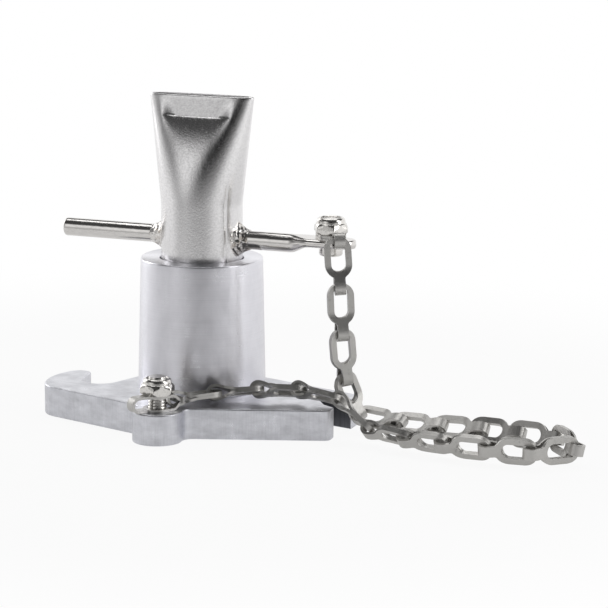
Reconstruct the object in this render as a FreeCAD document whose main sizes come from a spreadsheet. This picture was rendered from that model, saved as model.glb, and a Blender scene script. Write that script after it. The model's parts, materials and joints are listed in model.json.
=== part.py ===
import FreeCAD, Part
import math
import os
import Sketcher
from FreeCAD import Rotation, Vector

# A claw plate with a turned socket, and a T-handled key of pressed tube that stands in the
# socket and is tethered to the plate by a folded-link chain.
# Frame: +Z up, origin on the socket's axis at the plate's underside, +X along the plate from
# its hook to its jaws. The key, its bar and what hangs on the bar are drawn along X and then
# turned about the socket's axis by key_angle.

os.makedirs("parts", exist_ok=True)
doc = FreeCAD.newDocument("claw_plate_and_key")

# ---------------------------------------------------------------- driving sizes, mm and degrees
SIZES = [
    ("plate_thick", 10.0, "claw plate"),
    ("band_front", 34.7, "socket axis to the straight front edge"),
    ("band_back", 22.0, "socket axis to the straight back edge"),
    ("tip_wide", 3.44, "width of the hook's tip"),
    ("hook_tip", 9.8, "tip of the hook in front of the axis"),
    ("hook_heel", 40.8, "where the hook's slanted side meets the front edge"),
    ("heel_round", 8.0, ""),
    ("tip_round", 2.0, ""),
    ("back_round", 20.0, "back corner about the socket"),
    ("slot_x", 30.6, "hook slot centre"),
    ("slot_y", 16.1, ""),
    ("slot_radius", 6.2, ""),
    ("slot_flare", 27.0, "lean of the slot's outer wall"),
    ("front_corner", 10.5, "where the front edge turns towards the jaws"),
    ("jaw_reach", 54.8, "front jaw"),
    ("jaw_front", 1.4, ""),
    ("jaw_round", 2.5, ""),
    ("jaw_lip_x", 53.0, "lip of the front jaw"),
    ("jaw_lip_y", 2.9, ""),
    ("jaw_step_x", 48.2, ""),
    ("jaw_step_y", 4.1, ""),
    ("jaw_root_x", 38.3, "root of the gap between the jaws"),
    ("jaw_root_y", 12.0, ""),
    ("rear_step_x", 42.4, "rear jaw"),
    ("rear_step_y", 14.6, ""),
    ("rear_lip_x", 50.6, ""),
    ("rear_lip_y", 15.1, ""),
    ("rear_end_x", 48.5, ""),
    ("ear_x", 12.4, "ear for the chain's screw"),
    ("ear_y", 35.8, ""),
    ("ear_radius", 8.0, ""),
    ("ear_blend", 3.5, ""),
    ("barrel_base", 21.0, "socket barrel, radii"),
    ("barrel_top", 20.0, ""),
    ("barrel_height", 43.0, "above the plate"),
    ("barrel_bevel", 0.6, ""),
    ("bore_radius", 13.7, "bore for the key"),
    ("spigot_radius", 17.0, "barrel's spigot in the plate"),
    ("spigot_fit", 0.02, ""),
    ("floor_thick", 3.0, "closed end of the bore"),
    ("tube_radius", 13.3, "key tube"),
    ("tube_wall", 2.1, ""),
    ("foot_gap", 0.3, "tube end above the bore's floor"),
    ("round_rise", 17.0, "the tube is round up to here above the barrel"),
    ("crimp_rise", 46.4, "lower edge of the flat mouth above the barrel"),
    ("mouth_rise", 53.0, ""),
    ("mouth_half", 4.1, "half thickness of the flat mouth"),
    ("press_power", 0.75, "how fast the press marks fade"),
    ("key_angle", 17.0, "turn of the key from the plate's length"),
    ("bar_rise", 6.6, "T-bar's axis above the barrel"),
    ("bar_radius", 3.0, ""),
    ("bar_left", 49.3, ""),
    ("bar_right", 53.4, ""),
    ("flare_start", 31.1, "where the bar starts to flatten"),
    ("flare_end", 39.0, ""),
    ("flat_half", 5.25, "half width of the flat end"),
    ("flat_thick", 2.7, ""),
    ("flat_rise", 1.1, "flat end's middle above the bar's axis"),
    ("weld_foot", 6.1, "weld bead radius on the tube"),
    ("weld_toe", 3.6, "weld bead radius on the bar"),
    ("weld_run", 4.6, "weld bead length along the bar"),
    ("ring_radius", 1.0, "seal ring section"),
    ("ring_bite", 0.25, "seal ring proud of the bore"),
    ("ring_drop", 8.0, "seal ring below the barrel's top"),
    ("ring_play", 0.15, "groove clearance"),
    ("bolt_reach", 45.1, "tether bolt along the T-bar"),
    ("thread_radius", 3.0, "M6 shanks"),
    ("hole_radius", 3.25, "holes for them"),
    ("nut_flats", 10.0, "across flats"),
    ("nut_hex", 3.4, "height of the hexagon"),
    ("nut_collar", 1.8, "height of the collar over it"),
    ("collar_radius", 4.5, ""),
    ("collar_round", 1.1, ""),
    ("insert_radius", 3.3, "nylon insert"),
    ("insert_height", 1.1, ""),
    ("insert_seat", 1.5, "depth of its seat in the collar"),
    ("head_radius", 3.8, "tether bolt's round head"),
    ("head_height", 2.8, ""),
    ("bolt_sunk", 0.4, "its thread below the nut's top"),
    ("stud_proud", 0.5, "ear screw's thread above its nut"),
    ("sink_radius", 6.0, "countersunk head"),
    ("sink_play", 0.1, ""),
    ("sheet", 0.85, "chain link sheet"),
    ("link_pitch", 15.0, ""),
    ("link_half", 4.3, "half width of a link"),
    ("neck_half", 1.75, ""),
    ("fold_radius", 1.75, "inside the fold"),
    ("fold_hold", 1.95, "from the fold's centre to the middle of what crosses the rings"),
    ("end_bar", 0.95, "half width of the bar at the ring's end"),
    ("window_end", 10.1, "far end of the window"),
    ("window_half", 2.55, ""),
    ("window_bevel", 1.5, ""),
    ("open_play", 0.4, "room beside the link that lifts out of the open end"),
    ("shoulder_start", 9.0, ""),
    ("shoulder_end", 12.7, ""),
    ("ring_bevel", 2.6, ""),
    ("clamped_to", 12.8, "the bar's link is closed up to here"),
    ("bar_eye", 5.6, "bolt eye of the bar's link"),
    ("bar_heading", -37.5, "the bar's link in plan"),
    ("ear_lift", 0.02, "clearance each side of the ear's link"),
    ("parted_from", 3.5, "the ear's link is open from here on"),
    ("ear_eye", 7.3, "screw eye of the ear's link"),
    ("ear_heading", -105.0, "the ear's link in plan"),
]
sheet = doc.addObject("Spreadsheet::Sheet", "Sizes")
for row, (name, value, note) in enumerate(SIZES, start=1):
    sheet.set(f"A{row}", name)
    sheet.set(f"B{row}", str(value))
    sheet.set(f"C{row}", note)
    sheet.setAlias(f"B{row}", name)
doc.recompute()


def size(name):
    """One driving size as a number, for shapes that are worked out here."""
    return float(getattr(sheet, name))


def cell(text):
    """'{a} + {b}' as an expression on the sheet's cells."""
    return text.replace("{", "Sizes.").replace("}", "")


def number(text):
    """The same expression's present value."""
    return float(sheet.evalExpression(cell(text)))


# Levels that several pieces share: the barrel's top and the T-bar's axis.
BARREL_TOP = "({plate_thick} + {barrel_height})"
BAR_LEVEL = f"({BARREL_TOP} + {{bar_rise}})"


# ---------------------------------------------------------------- small modelling helpers
def new_body(label):
    body = doc.addObject("PartDesign::Body", label)
    body.Label = label
    return body


def new_sketch(body, plane, level="0"):
    """A sketch on one of the body's own planes, lifted along the plane's normal."""
    sketch = body.newObject("Sketcher::SketchObject", f"{body.Name}_sketch")
    support = [f for f in body.Origin.OriginFeatures if f.Role == plane][0]
    sketch.AttachmentSupport = [(support, "")]
    sketch.MapMode = "FlatFace"
    sketch.setExpression("AttachmentOffset.Base.z", cell(level))
    return sketch


def hold(sketch, kind, geometry, position, text):
    """Ties one coordinate of a point to the sheet, measured from the sketch's origin."""
    index = sketch.addConstraint(
        Sketcher.Constraint(kind, -1, 1, geometry, position, number(text)))
    sketch.setExpression(f"Constraints[{index}]", cell(text))


def add_polygon(sketch, points):
    """A closed run of lines whose corners are pairs of expressions."""
    first = sketch.GeometryCount
    spots = [Vector(number(x), number(y), 0) for x, y in points]
    count = len(spots)
    for i in range(count):
        sketch.addGeometry(Part.LineSegment(spots[i], spots[(i + 1) % count]))
    for i in range(count):
        sketch.addConstraint(
            Sketcher.Constraint("Coincident", first + i, 2, first + (i + 1) % count, 1))
    for i, (x, y) in enumerate(points):
        hold(sketch, "DistanceX", first + i, 1, x)
        hold(sketch, "DistanceY", first + i, 1, y)
    return sketch


def add_circle(sketch, x, y, radius):
    index = sketch.addGeometry(
        Part.Circle(Vector(number(x), number(y), 0), Vector(0, 0, 1), number(radius)))
    hold(sketch, "DistanceX", index, 3, x)
    hold(sketch, "DistanceY", index, 3, y)
    ring = sketch.addConstraint(Sketcher.Constraint("Radius", index, number(radius)))
    sketch.setExpression(f"Constraints[{ring}]", cell(radius))
    return sketch


def pad(body, sketch, length, centred=False):
    feature = body.newObject("PartDesign::Pad", f"{body.Name}_pad")
    feature.Profile = sketch
    feature.setExpression("Length", cell(length))
    if centred:
        feature.SideType = "Symmetric"
    doc.recompute()
    return feature


def cut_through(body, sketch):
    """A pocket both ways, so it cuts whichever side the solid lies on."""
    before = body.Shape.Volume
    feature = body.newObject("PartDesign::Pocket", f"{body.Name}_cut")
    feature.Profile = sketch
    feature.SideType = "Two sides"
    feature.Type = "ThroughAll"
    feature.Type2 = "ThroughAll"
    doc.recompute()
    assert feature.Shape.Volume < before, f"{body.Label}: a cut removed nothing"
    return feature


def spin(body, sketch):
    """Revolves a half profile drawn on XZ about the Z axis."""
    feature = body.newObject("PartDesign::Revolution", f"{body.Name}_turn")
    feature.Profile = sketch
    feature.ReferenceAxis = (sketch, ["V_Axis"])
    feature.Angle = 360
    doc.recompute()
    return feature


def upright_edges(shape, spots, reach=0.6):
    """The vertical edges nearest to the given places in plan."""
    names = []
    for x, y in spots:
        found = []
        for i, edge in enumerate(shape.Edges, start=1):
            ends = [v.Point for v in edge.Vertexes]
            if len(ends) == 2 and (ends[0] - ends[1]).normalize().cross(Vector(0, 0, 1)).Length < 1e-6:
                found.append((math.hypot(ends[0].x - x, ends[0].y - y), f"Edge{i}"))
        distance, name = min(found)
        assert distance < reach, f"no upright edge near {x:.1f}, {y:.1f}"
        names.append(name)
    return names


def round_upright(body, spots, radius):
    base = body.Tip
    feature = body.newObject("PartDesign::Fillet", f"{body.Name}_round")
    feature.Base = (base, upright_edges(base.Shape, spots))
    feature.setExpression("Radius", cell(radius))
    doc.recompute()
    return feature


def turn_with_key(thing):
    """Places a piece that belongs to the key."""
    thing.Placement = FreeCAD.Placement(Vector(), Rotation(Vector(0, 0, 1), size("key_angle")))
    thing.setExpression("Placement.Rotation.Angle", cell("{key_angle}"))


def solid_piece(label, shape, placement=None):
    """A sub-part whose form comes from Part's own functions."""
    piece = doc.addObject("Part::Feature", label)
    piece.Label = label
    piece.Shape = shape
    if placement:
        piece.Placement = placement
    return piece


# ---------------------------------------------------------------- claw plate
def claw_plate():
    body = new_body("claw_plate")
    slot_right = "-{slot_x} + {slot_radius}"
    touch_x = "(-{slot_x} - {slot_radius} * cos({slot_flare} * 1 deg))"
    touch_y = "(-{slot_y} - {slot_radius} * sin({slot_flare} * 1 deg))"
    flare = "tan({slot_flare} * 1 deg)"
    tip_wall = f"({touch_x} + ({touch_y} + {{hook_tip}}) * {flare})"
    tip_outer = f"({tip_wall} - {{tip_wide}})"
    hook_side = f"({tip_outer} - 2 * {{tip_round}})"
    tip_shoulder = "(-{hook_tip} - 2.4 * {tip_round})"
    outline = [
        ("-{hook_heel}", "-{band_front}"),
        ("{front_corner}", "-{band_front}"),
        ("{jaw_reach}", "-{jaw_front}"),
        ("{jaw_lip_x}", "{jaw_lip_y}"),
        ("{jaw_step_x}", "{jaw_step_y}"),
        ("{jaw_root_x}", "{jaw_root_y}"),
        ("{rear_step_x}", "{rear_step_y}"),
        ("{rear_lip_x}", "{rear_lip_y}"),
        ("{rear_end_x}", "{band_back}"),
        (slot_right, "{band_back}"),
        (slot_right, "-{hook_tip}"),
        (tip_outer, "-{hook_tip}"),
        (hook_side, tip_shoulder),
    ]
    pad(body, add_polygon(new_sketch(body, "XY_Plane"), outline), "{plate_thick}")
    pad(body, add_circle(new_sketch(body, "XY_Plane"), "{ear_x}", "-{ear_y}", "{ear_radius}"),
        "{plate_thick}")
    cut_through(body, add_circle(new_sketch(body, "XY_Plane"), "-{slot_x}", "-{slot_y}",
                                 "{slot_radius}"))
    mouth = [
        (touch_x, touch_y),
        (slot_right, "-{slot_y}"),
        (slot_right, "0"),
        (f"{touch_x} + {touch_y} * {flare}", "0"),
    ]
    cut_through(body, add_polygon(new_sketch(body, "XY_Plane"), mouth))
    cut_through(body, add_circle(new_sketch(body, "XY_Plane"), "0", "0", "{spigot_radius}"))
    cut_through(body, add_circle(new_sketch(body, "XY_Plane"), "{ear_x}", "-{ear_y}",
                                 "{hole_radius}"))

    round_upright(body, [(-size("hook_heel"), -size("band_front"))], "{heel_round}")
    round_upright(body, [(number(slot_right), size("band_back"))], "{back_round}")
    round_upright(body, [(size("jaw_reach"), -size("jaw_front"))], "{jaw_round}")
    tip = [(number(tip_outer), -size("hook_tip")), (number(hook_side), number(tip_shoulder)),
           (number(tip_wall), -size("hook_tip"))]
    round_upright(body, tip, "{tip_round}")
    round_upright(body, ear_corners(), "{ear_blend}")

    base = body.Tip
    sink = body.newObject("PartDesign::Chamfer", "claw_plate_sink")
    sink.Base = (base, [f"Edge{i}" for i, edge in enumerate(base.Shape.Edges, start=1)
                        if is_ear_rim(edge)])
    sink.setExpression("Size", cell("{sink_radius} - {hole_radius} + {sink_play}"))
    doc.recompute()
    return body


def is_ear_rim(edge):
    """The lower edge of the ear's screw hole."""
    if not isinstance(edge.Curve, Part.Circle):
        return False
    centre = edge.Curve.Center
    near = math.hypot(centre.x - size("ear_x"), centre.y + size("ear_y")) < 0.01
    return near and abs(edge.Curve.Radius - size("hole_radius")) < 0.01 and abs(centre.z) < 0.01


def ear_corners():
    """Where the ear's circle meets the front edge and the edge towards the jaws."""
    cx, cy, r = size("ear_x"), -size("ear_y"), size("ear_radius")
    corners = []
    lines = [((-size("hook_heel"), -size("band_front")), (size("front_corner"), -size("band_front")), -1),
             ((size("front_corner"), -size("band_front")), (size("jaw_reach"), -size("jaw_front")), 1)]
    for (x0, y0), (x1, y1), side in lines:
        length = math.hypot(x1 - x0, y1 - y0)
        ux, uy = (x1 - x0) / length, (y1 - y0) / length
        along = (cx - x0) * ux + (cy - y0) * uy
        away = (cx - x0) * uy - (cy - y0) * ux
        reach = along + side * math.sqrt(r * r - away * away)
        corners.append((x0 + reach * ux, y0 + reach * uy))
    return corners


# ---------------------------------------------------------------- socket barrel
def barrel():
    body = new_body("barrel")
    top = BARREL_TOP
    ring_top = f"{top} - {{ring_drop}}"
    ring_mid = f"({ring_top} - {{ring_radius}})"
    groove = "{bore_radius} + 2 * {ring_radius} - {ring_bite} + {ring_play}"
    half = "({ring_radius} + {ring_play})"
    profile = [
        ("0", "0"),
        ("{spigot_radius} - {spigot_fit}", "0"),
        ("{spigot_radius} - {spigot_fit}", "{plate_thick}"),
        ("{barrel_base}", "{plate_thick}"),
        ("{barrel_top}", f"{top} - {{barrel_bevel}}"),
        ("{barrel_top} - {barrel_bevel}", top),
        ("{bore_radius} + {barrel_bevel}", top),
        ("{bore_radius}", f"{top} - {{barrel_bevel}}"),
        ("{bore_radius}", f"{ring_mid} + {half}"),
        (groove, f"{ring_mid} + {half}"),
        (groove, f"{ring_mid} - {half}"),
        ("{bore_radius}", f"{ring_mid} - {half}"),
        ("{bore_radius}", "{floor_thick}"),
        ("0", "{floor_thick}"),
    ]
    spin(body, add_polygon(new_sketch(body, "XZ_Plane"), profile))
    return body


def seal_ring():
    ring = doc.addObject("Part::Torus", "seal_ring")
    ring.Label = "seal_ring"
    ring.setExpression("Radius1", cell("{bore_radius} - {ring_bite} + {ring_radius}"))
    ring.setExpression("Radius2", cell("{ring_radius}"))
    ring.setExpression("Placement.Base.z",
                       cell(f"{BARREL_TOP} - {{ring_drop}} - {{ring_radius}}"))
    return ring


# ---------------------------------------------------------------- key tube
def oval_wire(centre, wide, thin, flat, radius, spots=32):
    """A closed smooth curve: two half circles of one radius joined by two flats.
    wide and thin are unit vectors, flat is half the straight part."""
    around = 2 * math.pi * radius + 4 * flat
    points = []
    for i in range(spots):
        along = around * i / spots
        quarter = math.pi * radius / 2
        if along < quarter:
            x, y = flat + radius * math.cos(along / radius), radius * math.sin(along / radius)
        elif along < quarter + 2 * flat:
            x, y = flat - (along - quarter), radius
        elif along < 3 * quarter + 2 * flat:
            turn = (along - quarter - 2 * flat) / radius
            x, y = -flat - radius * math.sin(turn), radius * math.cos(turn)
        elif along < 3 * quarter + 4 * flat:
            x, y = -flat + (along - 3 * quarter - 2 * flat), -radius
        else:
            turn = (along - 3 * quarter - 4 * flat) / radius
            x, y = flat + radius * math.sin(turn), -radius * math.cos(turn)
        points.append(centre + wide * x + thin * y)
    curve = Part.BSplineCurve()
    curve.interpolate(points, PeriodicFlag=True)
    return Part.Wire([curve.toShape()])


def pressed_form(inset):
    """The key's outer form, or its hollow when inset by the wall: a round tube pressed flat
    towards its mouth, its girth kept."""
    bottom = size("floor_thick") + size("foot_gap")
    round_top, crimp, mouth = (number(f"{BARREL_TOP} + {{{name}}}")
                               for name in ("round_rise", "crimp_rise", "mouth_rise"))
    full, thin = size("tube_radius"), size("mouth_half")
    x_axis, y_axis = Vector(1, 0, 0), Vector(0, 1, 0)

    def section(level, radius):
        flat = math.pi / 2 * (full - radius)
        return oval_wire(Vector(0, 0, level), x_axis, y_axis, flat, radius - inset)

    fades = [1.0, 0.8, 0.6, 0.42, 0.28, 0.16, 0.07, 0.0]
    press = []
    for fade in fades:
        radius = thin + (full - thin) * math.sin(math.pi / 2 * fade) ** size("press_power")
        press.append(section(crimp - (crimp - round_top) * fade, radius))
    shank = Part.Face(section(bottom, full)).extrude(Vector(0, 0, round_top - bottom))
    pressed = Part.makeLoft(press, True, False)
    flat_mouth = Part.Face(section(crimp, thin)).extrude(Vector(0, 0, mouth - crimp))
    return shank.fuse([pressed, flat_mouth])


def key_tube():
    form = pressed_form(0.0)
    hollow = pressed_form(size("tube_wall"))
    reach = 2 * size("tube_radius")
    cross = Part.makeCylinder(size("bar_radius"), 2 * reach, Vector(-reach, 0, number(BAR_LEVEL)),
                              Vector(1, 0, 0))
    tube = form.cut(hollow).cut(cross)
    piece = solid_piece("key_tube", tube)
    turn_with_key(piece)
    return piece


# ---------------------------------------------------------------- T-bar and its welds
def t_bar():
    """A round rod with one end hammered flat and drilled for the tether bolt."""
    level, radius = number(BAR_LEVEL), size("bar_radius")
    thin = size("flat_thick") / 2
    y_axis, z_axis = Vector(0, 1, 0), Vector(0, 0, 1)
    rod_end = oval_wire(Vector(size("flare_start"), 0, level), y_axis, z_axis, 0, radius)
    rod = Part.Face(rod_end).extrude(Vector(-size("bar_left") - size("flare_start"), 0, 0))
    run = size("flare_end") - size("flare_start")
    wires = []
    for part in (0.0, 0.3, 0.65, 1.0):
        ease = part * part * (3 - 2 * part)
        r = radius + (thin - radius) * ease
        flat = (size("flat_half") - thin) * ease
        lift = size("flat_rise") * ease
        wires.append(oval_wire(Vector(size("flare_start") + run * part, 0, level + lift),
                               y_axis, z_axis, flat, r))
    flare = Part.makeLoft(wires, True, False)
    centre = Vector(size("flare_end"), 0, level + size("flat_rise"))
    flat_end = Part.Face(oval_wire(centre, y_axis, z_axis, size("flat_half") - thin, thin)).extrude(
        Vector(size("bar_right") - size("flare_end"), 0, 0))
    tip_at = size("bar_right") - size("flat_half")
    clear = size("flat_half") + radius
    nose = Part.makeCylinder(size("flat_half"), 4 * radius, Vector(tip_at, 0, level - 2 * radius))
    flat_end = flat_end.common(nose.fuse(
        Part.makeBox(tip_at, 2 * clear, 4 * radius, Vector(0, -clear, level - 2 * radius))))
    hole = Part.makeCylinder(size("hole_radius"), 4 * radius,
                             Vector(size("bolt_reach"), 0, level - 2 * radius))
    piece = solid_piece("t_bar", rod.fuse([flare, flat_end]).cut(hole))
    turn_with_key(piece)
    return piece


def weld(label, side):
    """A conical bead round the bar where it leaves the tube."""
    level, widest = number(BAR_LEVEL), size("weld_foot")
    start, end = math.sqrt(size("tube_radius") ** 2 - widest ** 2), size("tube_radius") + size("weld_run")
    foot = Part.makeCone(widest, size("weld_toe"), end - start, Vector(side * start, 0, level),
                         Vector(side, 0, 0))
    tube = Part.makeCylinder(size("tube_radius"), 4 * widest, Vector(0, 0, level - 2 * widest))
    rod = Part.makeCylinder(size("bar_radius"), 2 * end, Vector(-end, 0, level), Vector(1, 0, 0))
    piece = solid_piece(label, foot.cut(tube).cut(rod))
    turn_with_key(piece)
    return piece


# ---------------------------------------------------------------- fasteners
def hexagon(sketch, x, y, flats):
    """Six corners about (x, y), two flats facing along Y."""
    corners = []
    for i in range(6):
        turn = f"{60 * i} deg"
        corners.append((f"{x} + {flats} / sqrt(3) * cos({turn})",
                        f"{y} + {flats} / sqrt(3) * sin({turn})"))
    return add_polygon(sketch, corners)


def lock_nut(label, x, y, seat):
    """A nut with a rounded collar that holds a nylon insert."""
    body = new_body(label)
    pad(body, hexagon(new_sketch(body, "XY_Plane", seat), x, y, "{nut_flats}"), "{nut_hex}")
    collar_seat = f"{seat} + {{nut_hex}}"
    pad(body, add_circle(new_sketch(body, "XY_Plane", collar_seat), x, y, "{collar_radius}"),
        "{nut_collar}")
    base = body.Tip
    top = number(f"{seat} + {{nut_hex}} + {{nut_collar}}")
    rim = [f"Edge{i}" for i, e in enumerate(base.Shape.Edges, start=1)
           if isinstance(e.Curve, Part.Circle) and abs(e.Curve.Center.z - top) < 0.01]
    soften = body.newObject("PartDesign::Chamfer", f"{label}_soften")
    soften.Base = (base, rim)
    soften.setExpression("Size", cell("{collar_round}"))
    doc.recompute()
    cut_through(body, add_circle(new_sketch(body, "XY_Plane", seat), x, y, "{thread_radius}"))
    pocket = body.newObject("PartDesign::Pocket", f"{label}_seat")
    pocket.Profile = add_circle(new_sketch(body, "XY_Plane", f"{collar_seat} + {{nut_collar}}"),
                                x, y, "{insert_radius}")
    pocket.setExpression("Length", cell("{insert_seat}"))
    doc.recompute()
    return body


def nut_insert(label, x, y, seat):
    body = new_body(label)
    base = f"{seat} + {{nut_hex}} + {{nut_collar}} - {{insert_seat}}"
    sketch = add_circle(new_sketch(body, "XY_Plane", base), x, y, "{insert_radius}")
    pad(body, add_circle(sketch, x, y, "{thread_radius}"), "{insert_height}")
    return body


def tether_bolt():
    """Round head below the flat end, thread up through the first link and its nut."""
    body = new_body("bar_bolt")
    seat = BAR_LEVEL + " + {flat_rise} - {flat_thick} / 2"
    pad(body, add_circle(new_sketch(body, "XY_Plane", f"{seat} - {{head_height}}"),
                         "{bolt_reach}", "0", "{head_radius}"), "{head_height}")
    pad(body, add_circle(new_sketch(body, "XY_Plane", seat), "{bolt_reach}", "0",
                         "{thread_radius}"),
        "{flat_thick} + 2 * {sheet} + {nut_hex} + {nut_collar} - {bolt_sunk}")
    turn_with_key(body)
    return body


EAR_SEAT = "{plate_thick} + 2 * ({fold_radius} + {sheet} + {ear_lift})"


def ear_screw():
    """Countersunk from below, flush with the plate's underside."""
    body = new_body("ear_screw")
    top = EAR_SEAT + " + {nut_hex} + {nut_collar} + {stud_proud}"
    profile = [
        ("0", "0"),
        ("{sink_radius}", "0"),
        ("{thread_radius}", "{sink_radius} - {thread_radius}"),
        ("{thread_radius}", top),
        ("0", top),
    ]
    spin(body, add_polygon(new_sketch(body, "XZ_Plane"), profile))
    body.setExpression("Placement.Base.x", cell("{ear_x}"))
    body.setExpression("Placement.Base.y", cell("-{ear_y}"))
    return body


def fasteners():
    bar_seat = BAR_LEVEL + " + {flat_rise} + {flat_thick} / 2 + 2 * {sheet}"
    turn_with_key(lock_nut("bar_nut", "{bolt_reach}", "0", bar_seat))
    turn_with_key(nut_insert("bar_nut_insert", "{bolt_reach}", "0", bar_seat))
    tether_bolt()
    ear_screw()
    lock_nut("ear_nut", "{ear_x}", "-{ear_y}", EAR_SEAT)
    nut_insert("ear_nut_insert", "{ear_x}", "-{ear_y}", EAR_SEAT)


# ---------------------------------------------------------------- chain links
# A link is one strip blanked as two rings and folded in the middle. Its rings lie together at
# one end, and its fold hooks round the end bar of the next link's rings. A link is drawn with
# the middle of that end bar at the origin, its length along X and its face towards Z.

def tangent_point(px, pz, radius):
    """Where a line from (px, pz) touches the upper side of the circle about the fold."""
    pitch = size("link_pitch")
    away = math.hypot(px - pitch, pz)
    turn = math.atan2(pz, px - pitch) - math.acos(radius / away)
    return Vector(pitch + radius * math.cos(turn), 0, radius * math.sin(turn))


def fold_wire(upper, radius):
    """A leg given by its upper points, the arc round the fold, and the same leg below."""
    lower = [Vector(p.x, 0, -p.z) for p in reversed(upper)]
    arc = Part.Arc(upper[-1], Vector(size("link_pitch") + radius, 0, 0), lower[0]).toShape()
    edges = [Part.makeLine(upper[i], upper[i + 1]) for i in range(len(upper) - 1)] + [arc]
    edges += [Part.makeLine(lower[i], lower[i + 1]) for i in range(len(lower) - 1)]
    if upper[0].z > 0:
        edges.append(Part.makeLine(lower[-1], upper[0]))
    return Part.Wire(edges)


def hairpin(half, closed_to, parted_from=None):
    """The folded strip seen from its edge: half its width each way along Y. Its legs lie
    together up to closed_to, then spread to the fold, or to parted_from and run parallel."""
    sheet_thick = size("sheet")
    inner, outer = size("fold_radius"), size("fold_radius") + sheet_thick
    knee = closed_to - sheet_thick
    outside = [Vector(-size("end_bar"), 0, sheet_thick), Vector(knee, 0, sheet_thick)]
    inside = [Vector(closed_to, 0, 0)]
    if parted_from is None:
        outside.append(tangent_point(knee, sheet_thick, outer))
        inside.append(tangent_point(closed_to, 0, inner))
    else:
        outside.append(Vector(parted_from - sheet_thick / 2, 0, outer))
        outside.append(Vector(size("link_pitch"), 0, outer))
        inside.append(Vector(parted_from, 0, inner))
        inside.append(Vector(size("link_pitch"), 0, inner))
    strip = Part.Face(fold_wire(outside, outer)).cut(Part.Face(fold_wire(inside, inner)))
    strip.translate(Vector(0, -half, 0))
    return strip.extrude(Vector(0, 2 * half, 0))


def prism(points):
    """An upright prism through the link's thickness, mirrored about the link's length."""
    corners = [Vector(x, y, 0) for x, y in points]
    corners += [Vector(x, -y, 0) for x, y in reversed(points)]
    depth = 4 * size("fold_radius")
    face = Part.Face(Part.makePolygon(corners + corners[:1]))
    face.translate(Vector(0, 0, -depth))
    return face.extrude(Vector(0, 0, 2 * depth))


def link_form(strip, eye_at=None, open_end=False):
    """The strip blanked to a link's outline and window, with an eye where it is clamped, or
    with its window open through the end bar."""
    half, neck, bevel = size("link_half"), size("neck_half"), size("ring_bevel")
    end, window, corner = -size("end_bar"), size("window_half"), size("window_bevel")
    outline = prism([(end, half - bevel), (end + bevel, half), (size("shoulder_start"), half),
                     (size("shoulder_end"), neck), (size("link_pitch") + 4, neck)])
    hole = prism([(size("end_bar"), window - corner / 2), (size("end_bar") + corner / 2, window),
                  (size("window_end") - corner, window),
                  (size("window_end"), window - corner)])
    link = strip.common(outline).cut(hole)
    if open_end:
        gap = window + size("open_play")
        link = link.cut(prism([(2 * end, gap), (-2 * end, gap)]))
    if eye_at is not None:
        depth = 4 * size("fold_radius")
        link = link.cut(Part.makeCylinder(size("hole_radius"), 2 * depth,
                                          Vector(eye_at, 0, -depth)))
    return link


# The way of the chain from the bar's link to the ear's link, one line a link: the middle of its
# end bar, then the bearing and the rise of its width. A link points at the next line's place.
# The first HANGING of them hang from the bar, whose axis is at HUNG_FROM, and go up and down
# with it. The next one's end is open, so that the last hanging link lifts out of it.
HANGING = 4
HUNG_FROM = 59.6
WAY = [
    (50.2, 7.2, 63.0, 44, 4),
    (51.2, 7.7, 48.1, 53, 10),
    (51.9, 8.0, 33.4, 64, 16),
    (52.7, 8.9, 19.1, 80, 26),
    (53.5, 14.8, 5.7, 89, 25),
    (67.0, 16.9, 4.9, 103, 34),
    (80.0, 20.8, 4.7, 111, 41),
    (91.5, 24.9, 4.8, 107, 52),
    (103.9, 28.6, 4.9, 101, 65),
    (117.6, 31.5, 5.1, 81, 77),
    (129.9, 24.4, 5.2, -11, 86),
    (122.8, 12.4, 5.1, -69, 77),
    (109.3, 7.5, 5.0, -75, 65),
    (96.1, 4.3, 4.8, -81, 53),
    (83.1, 3.1, 4.6, -83, 42),
    (68.8, 1.9, 5.4, -87, 36),
    (56.6, 1.5, 13.2, -77, 32),
    (43.7, -0.9, 14.7, -67, 30),
    (31.0, -7.1, 14.3, -55, 20),
    (21.4, -16.9, 13.6, -39, 6),
    (14.3, -28.8, 12.8, 0, 0),
]


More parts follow.
